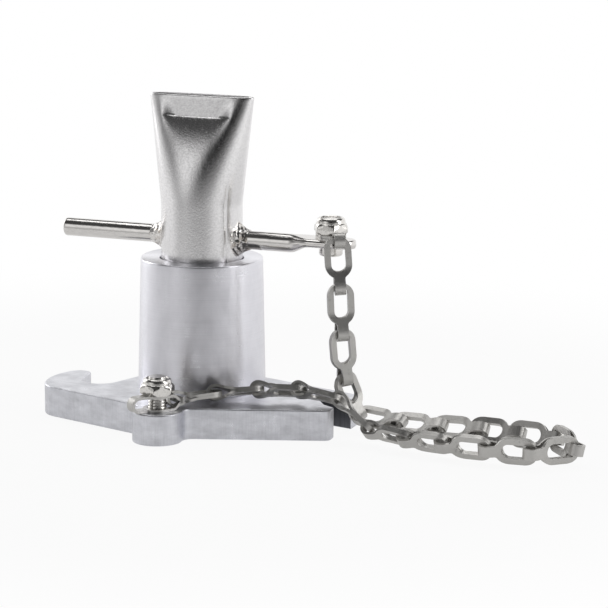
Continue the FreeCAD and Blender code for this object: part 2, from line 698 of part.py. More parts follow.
def chain():
    half = size("link_half")
    plain = link_form(hairpin(half, size("end_bar")))
    opened = link_form(hairpin(half, size("end_bar")), open_end=True)
    at_bar = link_form(hairpin(half, size("clamped_to")), size("bar_eye"))
    at_ear = link_form(hairpin(half, size("end_bar"), size("parted_from")), size("ear_eye"))

    seat = number(BAR_LEVEL + " + {flat_rise} + {flat_thick} / 2 + {sheet}")
    spin_key = Rotation(Vector(0, 0, 1), size("key_angle"))
    bolt = spin_key.multVec(Vector(size("bolt_reach"), 0, seat))
    clamp(at_bar, "chain_link_01", bolt, size("bar_heading"), size("bar_eye"))

    pitch, hold_back = size("link_pitch"), size("fold_hold")
    before = None
    for i, (x, y, z, bearing, rise) in enumerate(WAY[:-1]):
        spot, aim = Vector(x, y, z), Vector(*WAY[i + 1][:3])
        along = (aim - spot).normalize()
        if before:
            # slid along the fold before it, so that the fold crosses the rings in their middle
            last_spot, last_along, last_across = before
            reach = hold_back + pitch - (spot - last_spot).Length
            spot = spot - last_across * (reach * along.dot(last_across)
                                         * max(0.0, along.dot(last_along)))
            along = (aim - spot).normalize()
        flat = math.cos(math.radians(rise))
        across = Vector(flat * math.cos(math.radians(bearing)),
                        flat * math.sin(math.radians(bearing)), math.sin(math.radians(rise)))
        across = (across - along * across.dot(along)).normalize()
        turn = Rotation(along, across, along.cross(across), "XYZ")
        form = opened if i == HANGING else plain
        lift = Vector(0, 0, number(BAR_LEVEL) - HUNG_FROM if i < HANGING else 0)
        solid_piece(f"chain_link_{i + 2:02d}", form.copy(), FreeCAD.Placement(spot + lift, turn))
        before = (spot, along, across)

    level = (size("plate_thick") + number(EAR_SEAT)) / 2
    screw = Vector(size("ear_x"), -size("ear_y"), level)
    clamp(at_ear, f"chain_link_{len(WAY) + 1:02d}", screw, size("ear_heading"), size("ear_eye"))


def clamp(form, label, bolt, heading, eye_at):
    """Lays a level link with its eye on a bolt."""
    turn = Rotation(Vector(0, 0, 1), heading)
    spot = bolt - turn.multVec(Vector(eye_at, 0, 0))
    return solid_piece(label, form, FreeCAD.Placement(spot, turn))


# ---------------------------------------------------------------- build
claw_plate()
barrel()
seal_ring()
key_tube()
t_bar()
weld("weld_left", -1)
weld("weld_right", 1)
fasteners()
chain()
doc.recompute()

# ---------------------------------------------------------------- checks and files
KINDS = ("PartDesign::Body", "Part::Feature", "Part::Torus")
pieces = [thing for thing in doc.Objects if thing.TypeId in KINDS]
for thing in doc.Objects:
    bad = [state for state in thing.State if state in ("Invalid", "Error")]
    assert not bad, f"{thing.Label}: {bad}"
for piece in pieces:
    assert not piece.Shape.isNull() and piece.Shape.isValid(), f"{piece.Label}: bad shape"
    assert len(piece.Shape.Solids) == 1, f"{piece.Label}: {len(piece.Shape.Solids)} solids"
    piece.Shape.exportStep(f"parts/{piece.Label}.step")
print(len(pieces), "pieces")
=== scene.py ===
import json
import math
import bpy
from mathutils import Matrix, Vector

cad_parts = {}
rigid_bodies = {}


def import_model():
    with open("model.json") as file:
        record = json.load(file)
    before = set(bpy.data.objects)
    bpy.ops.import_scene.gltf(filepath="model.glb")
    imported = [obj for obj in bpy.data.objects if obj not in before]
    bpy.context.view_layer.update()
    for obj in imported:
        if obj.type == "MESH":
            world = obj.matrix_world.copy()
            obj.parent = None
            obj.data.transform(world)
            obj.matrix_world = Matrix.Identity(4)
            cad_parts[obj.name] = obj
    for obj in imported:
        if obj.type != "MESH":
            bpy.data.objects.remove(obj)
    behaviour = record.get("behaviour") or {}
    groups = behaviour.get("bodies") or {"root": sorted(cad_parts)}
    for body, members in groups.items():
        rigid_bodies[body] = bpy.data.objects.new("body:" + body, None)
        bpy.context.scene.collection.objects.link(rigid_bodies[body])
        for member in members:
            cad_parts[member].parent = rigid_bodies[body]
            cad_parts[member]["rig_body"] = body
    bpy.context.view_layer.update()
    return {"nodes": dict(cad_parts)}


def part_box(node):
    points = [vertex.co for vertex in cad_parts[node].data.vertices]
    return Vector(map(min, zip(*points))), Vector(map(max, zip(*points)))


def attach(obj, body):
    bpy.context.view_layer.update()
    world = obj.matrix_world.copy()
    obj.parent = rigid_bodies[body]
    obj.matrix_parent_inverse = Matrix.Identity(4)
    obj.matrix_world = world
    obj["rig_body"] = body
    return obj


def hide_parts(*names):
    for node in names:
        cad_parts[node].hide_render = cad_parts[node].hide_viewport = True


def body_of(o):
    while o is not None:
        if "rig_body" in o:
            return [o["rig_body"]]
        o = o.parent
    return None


bl_info = {
    "name": "Claw Plate and Chained Key",
    "version": (1, 0, 0),
    "blender": (4, 5, 0),
    "location": "3D View > Sidebar > Claw Key",
    "description": "Dresses a claw plate, the pressed-tube key in its socket and the folded-link "
                   "chain between them",
    "category": "Object",
}

import bmesh
import bpy
import numpy as np
from mathutils import Matrix, Vector

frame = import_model()
MM = 0.001
JOIN = 0.002 * MM  # points closer than this are one


# ================================================================ sizes and colours
def length(name, description, millimetres, low=0.0):
    """A size in metres whose default is given in millimetres."""
    return bpy.props.FloatProperty(name=name, description=description, default=millimetres * MM,
                                   min=low * MM, unit="LENGTH", precision=5)


def colour(name, description, value):
    """A colour of three linear shares."""
    return bpy.props.FloatVectorProperty(name=name, description=description, default=value,
                                         subtype="COLOR", size=3, min=0.0, max=1.0)


def point(name, description, x, y):
    """A place in plan, in metres, whose default is given in millimetres."""
    return bpy.props.FloatVectorProperty(name=name, description=description, size=2,
                                         default=(x * MM, y * MM), unit="LENGTH", precision=5)


class PlateSettings(bpy.types.PropertyGroup):
    edge_break: length("Edge break", "Width of the broken edges of the plate", 0.45)
    hook_start: point("Hook start", "Where the hook's outer side leaves the front edge",
                      -35.2, -34.7)
    hook_heel: point("Hook heel", "Pull of its curve at the heel", -46.5, -34.0)
    hook_side: point("Hook side", "Pull of its curve at the side", -51.5, -10.5)
    hook_end: point("Hook end", "Where it meets the tip", -43.3, -9.8)
    hook_centre: point("Hook centre", "Middle of the hook's slot", -30.4, -16.1)
    slot_clear: length("Slot clear", "How far from there the slot's own walls end", 12.0)
    gap: point("Gap", "Middle of the gap between the jaws", 50.0, 12.0)
    gap_reach: length("Gap reach", "How far from there its walls lie", 14.0)


class SocketSettings(bpy.types.PropertyGroup):
    base_radius: length("Base radius", "Outside radius on the plate", 21.0)
    top_radius: length("Top radius", "Outside radius at the top", 20.0)
    bore_radius: length("Bore radius", "Radius of the hole for the key", 13.7)
    spigot_radius: length("Spigot radius", "Radius inside the plate", 16.98)
    floor: length("Floor", "Thickness of the closed end", 3.0)
    edge_round: length("Edge round", "Rounding of the top edges", 0.6)


class KeySettings(bpy.types.PropertyGroup):
    turn: bpy.props.FloatProperty(name="Turn", description="Turn of the key in its socket",
                                  default=math.radians(17.0), subtype="ANGLE")
    tube_radius: length("Tube radius", "Radius of the round tube", 13.3)
    wall: length("Wall", "Wall of the tube", 2.1)
    seam: bpy.props.FloatProperty(name="Seam", description="Bearing of the tube's seam",
                                  default=math.radians(-14.0), subtype="ANGLE")
    round_top: length("Round up to", "Height at which the pressing starts", 70.0)
    crimp: length("Crimp", "Lower edge of the flat mouth", 99.4)
    mouth: length("Mouth", "Height of the open mouth", 106.0)
    mouth_half: length("Mouth half", "Half thickness of the flat mouth", 4.1)
    mouth_wide: length("Mouth width", "Half width of the mouth", 18.3)
    mouth_flat: length("Mouth flat", "Half of the mouth's flat part", 11.8)
    mouth_lip: length("Mouth lip", "Rounding of the mouth's edge", 0.45)
    mouth_taper: length("Mouth taper", "How much thinner the mouth is than the crimp", 0.7)
    mouth_wall: length("Mouth wall", "Wall at the mouth", 1.2)
    press_power: bpy.props.FloatProperty(name="Press power", default=0.75, min=0.3, max=2.0,
                                         description="How fast the press marks fade")
    side_power: bpy.props.FloatProperty(name="Side power", default=1.15, min=0.3, max=2.0,
                                        description="The same at the tube's sides")
    flat_power: bpy.props.FloatProperty(name="Flat power", default=1.1, min=0.3, max=2.0,
                                        description="How fast the flat part grows")
    bar_level: length("Bar level", "Height of the T-bar", 59.6)
    bar_radius: length("Bar radius", "Radius of the T-bar", 3.0)
    bar_left: length("Bar left", "Plain end of the T-bar", 49.3)
    bar_right: length("Bar right", "Flattened end of the T-bar", 53.4)
    flare_start: length("Flare start", "Where the bar starts to flatten", 31.1)
    flare_end: length("Flare end", "Where it is flat", 39.0)
    flat_half: length("Flat half", "Half width of the flat end", 5.25)
    flat_thick: length("Flat thickness", "Thickness of the flat end", 2.7)
    flat_rise: length("Flat rise", "Middle of the flat end above the bar's axis", 1.1)
    weld_foot: length("Weld foot", "Radius of the weld on the tube", 6.1)
    weld_run: length("Weld run", "Length of the weld along the bar", 4.6)
    end_break: length("End break", "Broken edge of the bar's plain end", 0.5)


class FastenerSettings(bpy.types.PropertyGroup):
    bolt_reach: length("Bolt reach", "Tether bolt along the T-bar", 45.1)
    ear_x: length("Ear x", "Screw in the plate's ear", 12.4)
    ear_y: length("Ear y", "Screw in front of the socket", 35.8)
    thread_radius: length("Thread radius", "Radius of the threads", 3.0)
    flats: length("Across flats", "Width of the hexagons", 10.0)
    hexagon: length("Hexagon", "Height of a nut's hexagon", 3.4)
    collar: length("Collar", "Height of the collar over it", 1.8)
    head: length("Head", "Height of the bolt's head", 2.8)
    head_radius: length("Head radius", "Radius of the bolt's head", 3.8)
    sunk: length("Sunk", "Bolt's thread below its nut's top", 0.4)
    proud: length("Proud", "Screw's thread above the ear's nut", 0.5)
    sink_radius: length("Sink radius", "Countersunk head of the ear's screw", 6.0)
    thread_pitch: length("Thread pitch", "From one turn of the thread to the next", 1.0)
    thread_depth: length("Thread depth", "Depth of the thread", 0.18)
    insert_seat: length("Insert seat", "Depth of the insert below the collar's top", 1.5)


class ChainSettings(bpy.types.PropertyGroup):
    sheet: length("Sheet", "Thickness of the strip", 0.85)
    pitch: length("Pitch", "From a link's end bar to its fold", 15.0)
    half: length("Half width", "Half width of a link", 4.3)
    neck: length("Neck", "Half width of the neck", 1.75)
    fold: length("Fold", "Inside radius of the fold", 1.75)
    hold: length("Fold hold", "From the fold's centre to what crosses the rings", 1.95)
    end_bar: length("End bar", "Half width of the bar at the ring's end", 0.95)
    window_end: length("Window end", "Far end of the window", 10.1)
    window: length("Window", "Half width of the window", 2.35)
    arch: length("Arch", "Length of the rounding at the ring's end", 4.0)
    fillet: length("Fillet", "Hollow rounding between ring and neck", 1.0)
    bar_eye: length("Bar eye", "Eye of the link on the bar", 5.6)
    ear_eye: length("Ear eye", "Eye of the link on the ear", 7.3)
    eye_radius: length("Eye radius", "Half width of the window where a bolt passes", 3.1)
    eye_rim: length("Eye rim", "Least width of the ring beside the bolt", 0.8)
    corner: length("Corner", "Rounding of the window's square end", 0.5)
    parts_at: length("Parts at", "Where the two rings of a link start to part", 8.0)
    bar_parts_at: length("Bar parts at", "The same on the bar's link", 12.4)
    ear_parted_at: length("Ear parted at", "Where the ear's link is fully parted", 3.7)
    edge: length("Edge", "Width of its tumbled edges", 0.16)


class FinishSettings(bpy.types.PropertyGroup):
    plate: colour("Plate", "Aluminium of the plate", (0.79, 0.795, 0.84))
    # cut is painted shade: a dark grey for the shade that falls on the walls between the jaws.
    cut: colour("Cut", "Sawn walls between the jaws", (0.21, 0.215, 0.235))
    socket: colour("Socket", "Aluminium of the socket", (0.83, 0.825, 0.87))
    tube: colour("Tube", "Stainless tube", (0.78, 0.77, 0.775))
    bar: colour("Bar", "Stainless rod", (0.74, 0.72, 0.70))
    nuts: colour("Nuts", "Bright fasteners", (0.78, 0.76, 0.73))
    chain: colour("Chain", "Folded strip", (0.56, 0.55, 0.53))
    nylon: colour("Nylon", "Nut inserts", (0.62, 0.62, 0.60))
    rubber: colour("Rubber", "Seal ring", (0.03, 0.03, 0.03))
    # inside is painted shade: near black for the shade in the tube's hollow.
    inside: colour("Inside", "Tube's inside", (0.10, 0.10, 0.10))
    floor: colour("Floor", "Stage floor", (0.93, 0.93, 0.93))


# ================================================================ mesh helpers
def surface(name, grid, wrap_rows=True, wrap_columns=True, keep=None, sharp=40.0):
    """A mesh over a rows x columns x 3 array of points. A wrapped direction joins its last line
    of points to its first; keep leaves out the faces that are False."""
    rows, columns = grid.shape[:2]
    r = np.arange(rows if wrap_rows else rows - 1)
    c = np.arange(columns if wrap_columns else columns - 1)
    rr, cc = np.meshgrid(r, c, indexing="ij")
    down, along = (rr + 1) % rows, (cc + 1) % columns
    faces = np.stack([rr * columns + cc, rr * columns + along,
                      down * columns + along, down * columns + cc], axis=-1)
    if keep is not None:
        faces = faces[keep]
    mesh = bpy.data.meshes.new(name)
    mesh.from_pydata(grid.reshape(-1, 3).tolist(), [], faces.reshape(-1, 4).tolist())
    return shaded(closed(mesh), sharp)


def closed(mesh):
    """Closes seams and poles and turns the faces outwards."""
    work = bmesh.new()
    work.from_mesh(mesh)
    bmesh.ops.remove_doubles(work, verts=work.verts, dist=JOIN)
    bmesh.ops.dissolve_degenerate(work, edges=work.edges, dist=JOIN)
    bmesh.ops.recalc_face_normals(work, faces=work.faces)
    work.to_mesh(mesh)
    work.free()
    return mesh


def shaded(mesh, sharp):
    """Shades the mesh smooth, but for edges that turn by more than so many degrees."""
    mesh.polygons.foreach_set("use_smooth", [True] * len(mesh.polygons))
    mesh.set_sharp_from_angle(angle=math.radians(sharp))
    return mesh


def faces_of(mesh):
    """The centre and the normal of each face."""
    found = []
    for name in ("center", "normal"):
        values = np.empty(len(mesh.polygons) * 3)
        mesh.polygons.foreach_get(name, values)
        found.append(values.reshape(-1, 3))
    return found


def points(x, y, z):
    """A grid of points from three arrays, each spread over the others' rows and columns."""
    return np.stack(np.broadcast_arrays(x, y, z), axis=-1)


def moved(grid, matrix):
    """The grid's points through a 4 x 4 matrix."""
    m = np.array(matrix)
    return grid @ m[:3, :3].T + m[:3, 3]


def rounded(corners, cuts, steps=6, closed=True):
    """A run of 2-D points through corners, each eased by a parabola whose ends lie the given
    cut before and after the corner."""
    corners = np.asarray(corners, float)
    count = len(corners)
    points = []
    for i in range(count):
        here = corners[i]
        if cuts[i] <= 0 or (not closed and i in (0, count - 1)):
            points.append(here[None])
            continue
        back, ahead = corners[i - 1] - here, corners[(i + 1) % count] - here
        start = here + back / np.linalg.norm(back) * cuts[i]
        end = here + ahead / np.linalg.norm(ahead) * cuts[i]
        t = np.linspace(0, 1, steps + 1)[:, None]
        points.append((1 - t) ** 2 * start + 2 * t * (1 - t) * here + t ** 2 * end)
    return np.concatenate(points)


def revolved(profile, segments=128, flats=None):
    """A profile of radius and height turned about Z. With flats, each radius is cut back to a
    hexagon of that width across flats, one pair of flats facing along Y."""
    turn = np.arange(segments) / segments * 2 * math.pi
    radius = profile[:, :1]
    if flats is not None:
        corner = (turn + math.pi / 3) % (math.pi / 3) - math.pi / 6
        radius = np.minimum(radius, flats / 2 / np.cos(corner)[None])
    return points(radius * np.cos(turn), radius * np.sin(turn), profile[:, 1:])


def stadium(flat, radius, share):
    """Points on two half circles joined by flats, each at its share of the way round. flat is
    half the straight part; it and radius may differ from row to row."""
    quarter = math.pi / 2 * radius
    way = share * (4 * quarter + 4 * flat)
    right, none = flat + 0 * way, 0 * way
    runs = [way < quarter, way < quarter + 2 * flat, way < 3 * quarter + 2 * flat,
            way < 3 * quarter + 4 * flat]
    turn = np.select(runs, [way / radius, math.pi / 2 + none, (way - 2 * flat) / radius,
                            3 * math.pi / 2 + none], (way - 4 * flat) / radius)
    shift = np.select(runs, [right, flat - (way - quarter), -right,
                             way - 3 * quarter - 3 * flat], right)
    return shift + radius * np.cos(turn), radius * np.sin(turn)


def ease(t):
    """A smooth step: three times the square less twice the cube."""
    t = np.clip(t, 0, 1)
    return t * t * (3 - 2 * t)


def piece(name, mesh, body, slot, material, *nodes):
    """A finished piece at the origin that rides on a body and stands for CAD nodes."""
    thing = bpy.data.objects.new(name, mesh)
    bpy.context.scene.collection.objects.link(thing)
    mesh.materials.append(material)
    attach(thing, body)
    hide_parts(*nodes)
    return thing


def modifier(thing, name, kind, **settings):
    """A modifier on a piece, with its settings."""
    added = thing.modifiers.new(name, kind)
    for key, value in settings.items():
        setattr(added, key, value)
    return added


# ================================================================ finishes
class Nodes:
    """Short ways to add nodes to a tree and join them."""

    def __init__(self, tree):
        self.nodes, self.links = tree.nodes, tree.links

    def add(self, kind, **settings):
        node = self.nodes.new("ShaderNode" + kind)
        for key, value in settings.items():
            setattr(node, key, value)
        return node

    def feed(self, value, socket):
        """Links an output to a socket, or writes a number, a grey or a colour in it."""
        if isinstance(value, bpy.types.NodeSocket):
            self.links.new(value, socket)
        elif isinstance(value, tuple):
            socket.default_value = (*value, 1.0)
        elif socket.type == "RGBA":
            socket.default_value = (value, value, value, 1.0)
        else:
            socket.default_value = value

    def span(self, value, low, high, new_low=0.0, new_high=1.0, ramp="LINEAR"):
        """The value's way from low to high, spread between two new values."""
        node = self.add("MapRange", interpolation_type=ramp)
        for socket, number in zip(("Value", "From Min", "From Max", "To Min", "To Max"),
                                  (value, low, high, new_low, new_high)):
            self.feed(number, node.inputs[socket])
        return node.outputs["Result"]

    def maths(self, operation, *values):
        node = self.add("Math", operation=operation)
        for socket, value in zip(node.inputs, values):
            self.feed(value, socket)
        return node.outputs["Value"]

    def between(self, share, first, second):
        """A colour between two others."""
        node = self.add("Mix", data_type="RGBA")
        for value, socket in ((share, node.inputs["Factor"]), (first, node.inputs[6]),
                              (second, node.inputs[7])):
            self.feed(value, socket)
        return node.outputs[2]

    def parts(self, vector):
        """The X, Y and Z of a vector."""
        split = self.add("SeparateXYZ")
        self.feed(vector, split.inputs[0])
        return split.outputs


class Finish(Nodes):
    """A node material built step by step around one Principled shader."""

    def __init__(self, name, base, metallic=0.0, roughness=0.4):
        found = bpy.data.materials.get(name)
        if found:
            bpy.data.materials.remove(found)
        self.material = bpy.data.materials.new(name)
        self.material.use_nodes = True
        super().__init__(self.material.node_tree)
        self.shader = self.nodes["Principled BSDF"]
        self.base = tuple(base)
        self.feed(self.base, self.shader.inputs["Base Color"])
        self.feed(metallic, self.shader.inputs["Metallic"])
        self.feed(roughness, self.shader.inputs["Roughness"])
        self.place = self.add("TexCoord").outputs["Object"]
        self.normal = None

    def noise(self, scale, detail=4.0, rough=0.6):
        """Noise over Object coordinates, in metres, multiplied along each axis."""
        stretch, node = self.add("Mapping"), self.add("TexNoise")
        stretch.inputs["Scale"].default_value = scale
        self.feed(self.place, stretch.inputs["Vector"])
        self.feed(stretch.outputs["Vector"], node.inputs["Vector"])
        self.feed(1.0, node.inputs["Scale"])
        self.feed(detail, node.inputs["Detail"])
        self.feed(rough, node.inputs["Roughness"])
        return node.outputs["Fac"]

    def tint(self, share, other):
        """Shades the base colour towards another."""
        self.feed(self.between(share, self.base, other), self.shader.inputs["Base Color"])

    def vary_roughness(self, value):
        self.feed(value, self.shader.inputs["Roughness"])

    def bump(self, height, distance, strength):
        """Adds a bump on top of those before it."""
        node = self.add("Bump")
        self.feed(distance, node.inputs["Distance"])
        self.feed(strength, node.inputs["Strength"])
        self.feed(height, node.inputs["Height"])
        if self.normal is not None:
            self.feed(self.normal, node.inputs["Normal"])
        self.normal = node.outputs["Normal"]
        self.feed(self.normal, self.shader.inputs["Normal"])

    def mark(self, pattern, tint, towards, bump, gloss=None):
        """Lets one pattern shade the colour towards another, lift the surface and spread the
        roughness. tint is where the shade starts, where it ends and how strong it gets."""
        low, high, share = tint
        self.tint(self.span(pattern, low, high, 0.0, share), towards)
        self.bump(pattern, *bump)
        if gloss:
            self.vary_roughness(self.span(pattern, *gloss))

    def facing_up(self):
        """1 where the surface faces up or down, 0 on upright walls."""
        upward = self.parts(self.add("NewGeometry").outputs["Normal"])["Z"]
        return self.span(self.maths("ABSOLUTE", upward), 0.6, 0.8)

    def toned(self, amount):
        """The base colour times an amount."""
        return tuple(c * amount for c in self.base)


def plate_finish(finishes):
    """Satin aluminium: soft smears, with fine lines along the top and up the walls."""
    f = Finish("cast_aluminium", finishes.plate, metallic=1.0, roughness=0.40)
    lines = f.noise((90, 2600, 2600), detail=3.0)
    marks = f.noise((1700, 1700, 120), detail=4.0)
    smears = f.noise((140, 140, 320), detail=5.0, rough=0.65)
    up = f.facing_up()
    texture = f.maths("ADD", f.maths("MULTIPLY", lines, up),
                      f.maths("MULTIPLY", marks, f.maths("SUBTRACT", 1.0, up)))
    f.tint(f.span(f.maths("ADD", f.maths("MULTIPLY", texture, 0.35), smears), 0.5, 0.95, 0.0, 0.8),
           f.toned(0.68))
    f.vary_roughness(f.span(f.maths("ADD", texture, smears), 0.7, 1.4, 0.26, 0.46))
    f.bump(texture, 0.00008, 0.25)
    f.bump(smears, 0.0005, 0.22)
    return f.material


def gap_painted_shade(finishes):
    """Painted shade on the walls between the jaws: dark, dull metal with upright lines."""
    f = Finish("aluminium_gap_painted_shade", finishes.cut, metallic=0.8, roughness=0.5)
    f.mark(f.noise((900, 900, 60)), tint=(0.4, 0.7, 1.0), towards=f.toned(0.7),
           bump=(0.0001, 0.4), gloss=(0.3, 0.8, 0.4, 0.6))
    return f.material


def socket_finish(finishes):
    """Turned aluminium: fine rings round the socket, with a slow unevenness. Its gloss is drawn
    out along the socket, across the rings."""
    f = Finish("turned_aluminium", finishes.socket, metallic=1.0, roughness=0.34)
    rings = f.noise((40, 40, 5200), detail=5.0, rough=0.7)
    clouds = f.noise((160, 160, 90), detail=3.0)
    f.tint(f.span(f.maths("ADD", rings, clouds), 0.75, 1.35, 0.0, 0.6), f.toned(0.82))
    f.vary_roughness(f.span(f.maths("ADD", rings, clouds), 0.7, 1.4, 0.26, 0.42))
    f.bump(rings, 0.00008, 0.35)
    f.bump(clouds, 0.0006, 0.2)
    around = f.add("Tangent", direction_type="RADIAL", axis="Z")
    f.feed(around.outputs["Tangent"], f.shader.inputs["Tangent"])
    f.feed(0.7, f.shader.inputs["Anisotropic"])
    f.feed(0.25, f.shader.inputs["Anisotropic Rotation"])
    return f.material


def tube_finish(finishes, seam_turn, seam_top):
    """Polished stainless with a fine grain and a faint seam up one side of the round part."""
    f = Finish("polished_stainless", finishes.tube, metallic=1.0, roughness=0.22)
    grain = f.noise((1700, 1700, 1700), detail=3.0, rough=0.65)
    drawn = f.noise((900, 900, 45), detail=3.0)
    f.tint(f.span(grain, 0.4, 0.75, 0.0, 0.6), f.toned(0.76))
    f.vary_roughness(f.span(f.maths("ADD", grain, drawn), 0.7, 1.4, 0.16, 0.30))
    f.bump(grain, 0.00012, 0.32)
    f.bump(drawn, 0.00010, 0.15)
    x, y, z = f.parts(f.place)
    cosine, sine = math.cos(seam_turn), math.sin(seam_turn)
    across = f.maths("SUBTRACT", f.maths("MULTIPLY", y, cosine), f.maths("MULTIPLY", x, sine))
    ahead = f.maths("ADD", f.maths("MULTIPLY", x, cosine), f.maths("MULTIPLY", y, sine))
    groove = f.span(f.maths("ABSOLUTE", across), 0.0, 0.6 * MM, 1.0, 0.0)
    groove = f.maths("MULTIPLY", groove, f.maths("GREATER_THAN", ahead, 0.0))
    low = f.span(z, seam_top, seam_top + 12 * MM, 1.0, 0.0)
    f.bump(f.maths("MULTIPLY", groove, low), -0.4 * MM, 0.5)
    return f.material


def tube_inside_painted_shade(finishes):
    """The tube's inside: dull steel painted near black for the shade in the hollow, with darker
    patches.
    """
    f = Finish("bore_painted_shade", finishes.inside, metallic=0.6, roughness=0.6)
    f.mark(f.noise((500, 500, 200)), tint=(0.4, 0.7, 1.0), towards=(0.03, 0.03, 0.03),
           bump=(0.0002, 0.4), gloss=(0.3, 0.8, 0.5, 0.7))
    return f.material


def bar_finish(finishes):
    """Drawn stainless rod, bright, with lines along it."""
    f = Finish("drawn_stainless", finishes.bar, metallic=1.0, roughness=0.16)
    f.mark(f.noise((40, 1600, 1600), detail=3.0), tint=(0.4, 0.8, 0.5), towards=f.toned(0.75),
           bump=(0.00005, 0.3), gloss=(0.3, 0.8, 0.10, 0.24))
    return f.material


def weld_finish(finishes):
    """Bright weld metal, rippled, with heat tint in its hollows."""
    f = Finish("weld_metal", finishes.bar, metallic=1.0, roughness=0.20)
    f.mark(f.noise((420, 420, 420), detail=2.0), tint=(0.5, 0.75, 0.8),
           towards=(0.34, 0.27, 0.20), bump=(0.0012, 0.6), gloss=(0.3, 0.8, 0.10, 0.26))
    return f.material


def nut_finish(finishes):
    """Bright stainless fasteners with light handling marks."""
    f = Finish("bright_fastener", finishes.nuts, metallic=1.0, roughness=0.13)
    f.mark(f.noise((1300, 1300, 1300)), tint=(0.5, 0.8, 0.6), towards=f.toned(0.6),
           bump=(0.00012, 0.35), gloss=(0.3, 0.8, 0.08, 0.24))
    return f.material


def chain_finish(finishes):
    """Tumbled stainless strip: satin, slightly warm, with small dark specks."""
    f = Finish("folded_strip", finishes.chain, metallic=1.0, roughness=0.42)
    fine = f.noise((2200, 2200, 2200), detail=3.0)
    specks = f.noise((420, 420, 420), detail=5.0, rough=0.75)
    f.tint(f.span(specks, 0.58, 0.76, 0.0, 0.7), f.toned(0.45))
    f.vary_roughness(f.span(fine, 0.3, 0.75, 0.34, 0.50))
    f.bump(fine, 0.00006, 0.35)
    return f.material


def nylon_finish(finishes):
    """Natural nylon, cut by the threads."""
    f = Finish("natural_nylon", finishes.nylon, roughness=0.45)
    f.feed(0.15, f.shader.inputs["Subsurface Weight"])
    f.shader.inputs["Subsurface Radius"].default_value = (0.001, 0.001, 0.001)
    f.mark(f.noise((900, 900, 3000), detail=2.0), tint=(0.35, 0.7, 1.0), towards=f.toned(0.7),
           bump=(0.0002, 0.4))
    return f.material


def rubber_finish(finishes):
    """Black rubber with a pale bloom."""
    f = Finish("seal_rubber", finishes.rubber, roughness=0.55)
    f.mark(f.noise((600, 600, 600), detail=3.0), tint=(0.4, 0.75, 1.0),
           towards=(0.07, 0.07, 0.068), bump=(0.0002, 0.3))
    return f.material


# ================================================================ plate and socket
def sweep_hook(mesh, s):
    """Slides the upright lines of the hook's outer side onto a cubic curve through its start
    and end, pulled towards the heel and the side. The lines keep their order and are spaced
    evenly along the curve."""
    place = np.empty(len(mesh.vertices) * 3)
    mesh.vertices.foreach_get("co", place)
    place = place.reshape(-1, 3)
    start, heel, side, end = (np.array(corner) for corner in
                              (s.hook_start, s.hook_heel, s.hook_side, s.hook_end))
    middle = (start + end) / 2
    first = math.atan2(*(start - middle)[::-1])
    last = (first - math.atan2(*(end - middle)[::-1])) % (2 * math.pi)
    turn = (first - np.arctan2(place[:, 1] - middle[1], place[:, 0] - middle[0])) % (2 * math.pi)
    slack = 0.02  # radians, so that both ends are counted
    outer = np.hypot(*(place[:, :2] - np.array(s.hook_centre)).T) > s.slot_clear
    outer &= (turn < last + slack) | (turn > 2 * math.pi - slack)
    turn = np.where(turn > math.pi * 1.5, 0, turn)  # just before the start counts as the start
    lines, which = np.unique(turn[outer].round(3), return_inverse=True)
    t = (which / (len(lines) - 1))[:, None]
    place[outer, :2] = ((1 - t) ** 3 * start + 3 * t * (1 - t) ** 2 * heel
                        + 3 * t ** 2 * (1 - t) * side + t ** 3 * end)
    mesh.vertices.foreach_set("co", place.ravel())


def gap_walls(mesh, s):
    """True for the upright faces that lie near the middle of the jaws' gap and look to it: the
    cosine of the angle between the normal and the way to the middle is above a third."""
    centre, normal = faces_of(mesh)
    way = np.array(s.gap) - centre[:, :2]
    away = np.hypot(*way.T)
    facing = (way * normal[:, :2]).sum(axis=1) > away / 3
    upright = np.abs(normal[:, 2]) < 0.5
    return (away < s.gap_reach) & facing & upright


class CLAWKEY_OT_plate(bpy.types.Operator):
    """Dresses the claw plate: its solid's faces joined up, with broken edges"""
    bl_idname = "clawkey.plate"
    bl_label = "Claw Plate"
    bl_options = {"REGISTER", "UNDO"}

    def execute(self, context):
        settings, finishes = context.scene.claw_plate, context.scene.claw_finish
        mesh = frame["nodes"]["claw_plate"].data.copy()
        mesh.name = "claw_plate_edges"
        mesh.materials.clear()
        work = bmesh.new()
        work.from_mesh(mesh)
        bmesh.ops.remove_doubles(work, verts=work.verts, dist=JOIN)
        bmesh.ops.dissolve_limit(work, angle_limit=math.radians(1.0), verts=work.verts,
                                 edges=work.edges)
        work.to_mesh(mesh)
        work.free()
        sweep_hook(mesh, settings)
        crisp = 35.0
        plate = piece("claw_plate_body", shaded(mesh, crisp), "plate", "cast_aluminium",
                      plate_finish(finishes), "claw_plate")
        # The walls between the jaws take the painted shade as a second material.
        mesh.materials.append(gap_painted_shade(finishes))
        mesh.polygons.foreach_set("material_index", gap_walls(mesh, settings))
        modifier(plate, "Broken edges", "BEVEL", width=settings.edge_break, segments=3,
                 limit_method="ANGLE", angle_limit=math.radians(crisp), harden_normals=True)
        return {"FINISHED"}


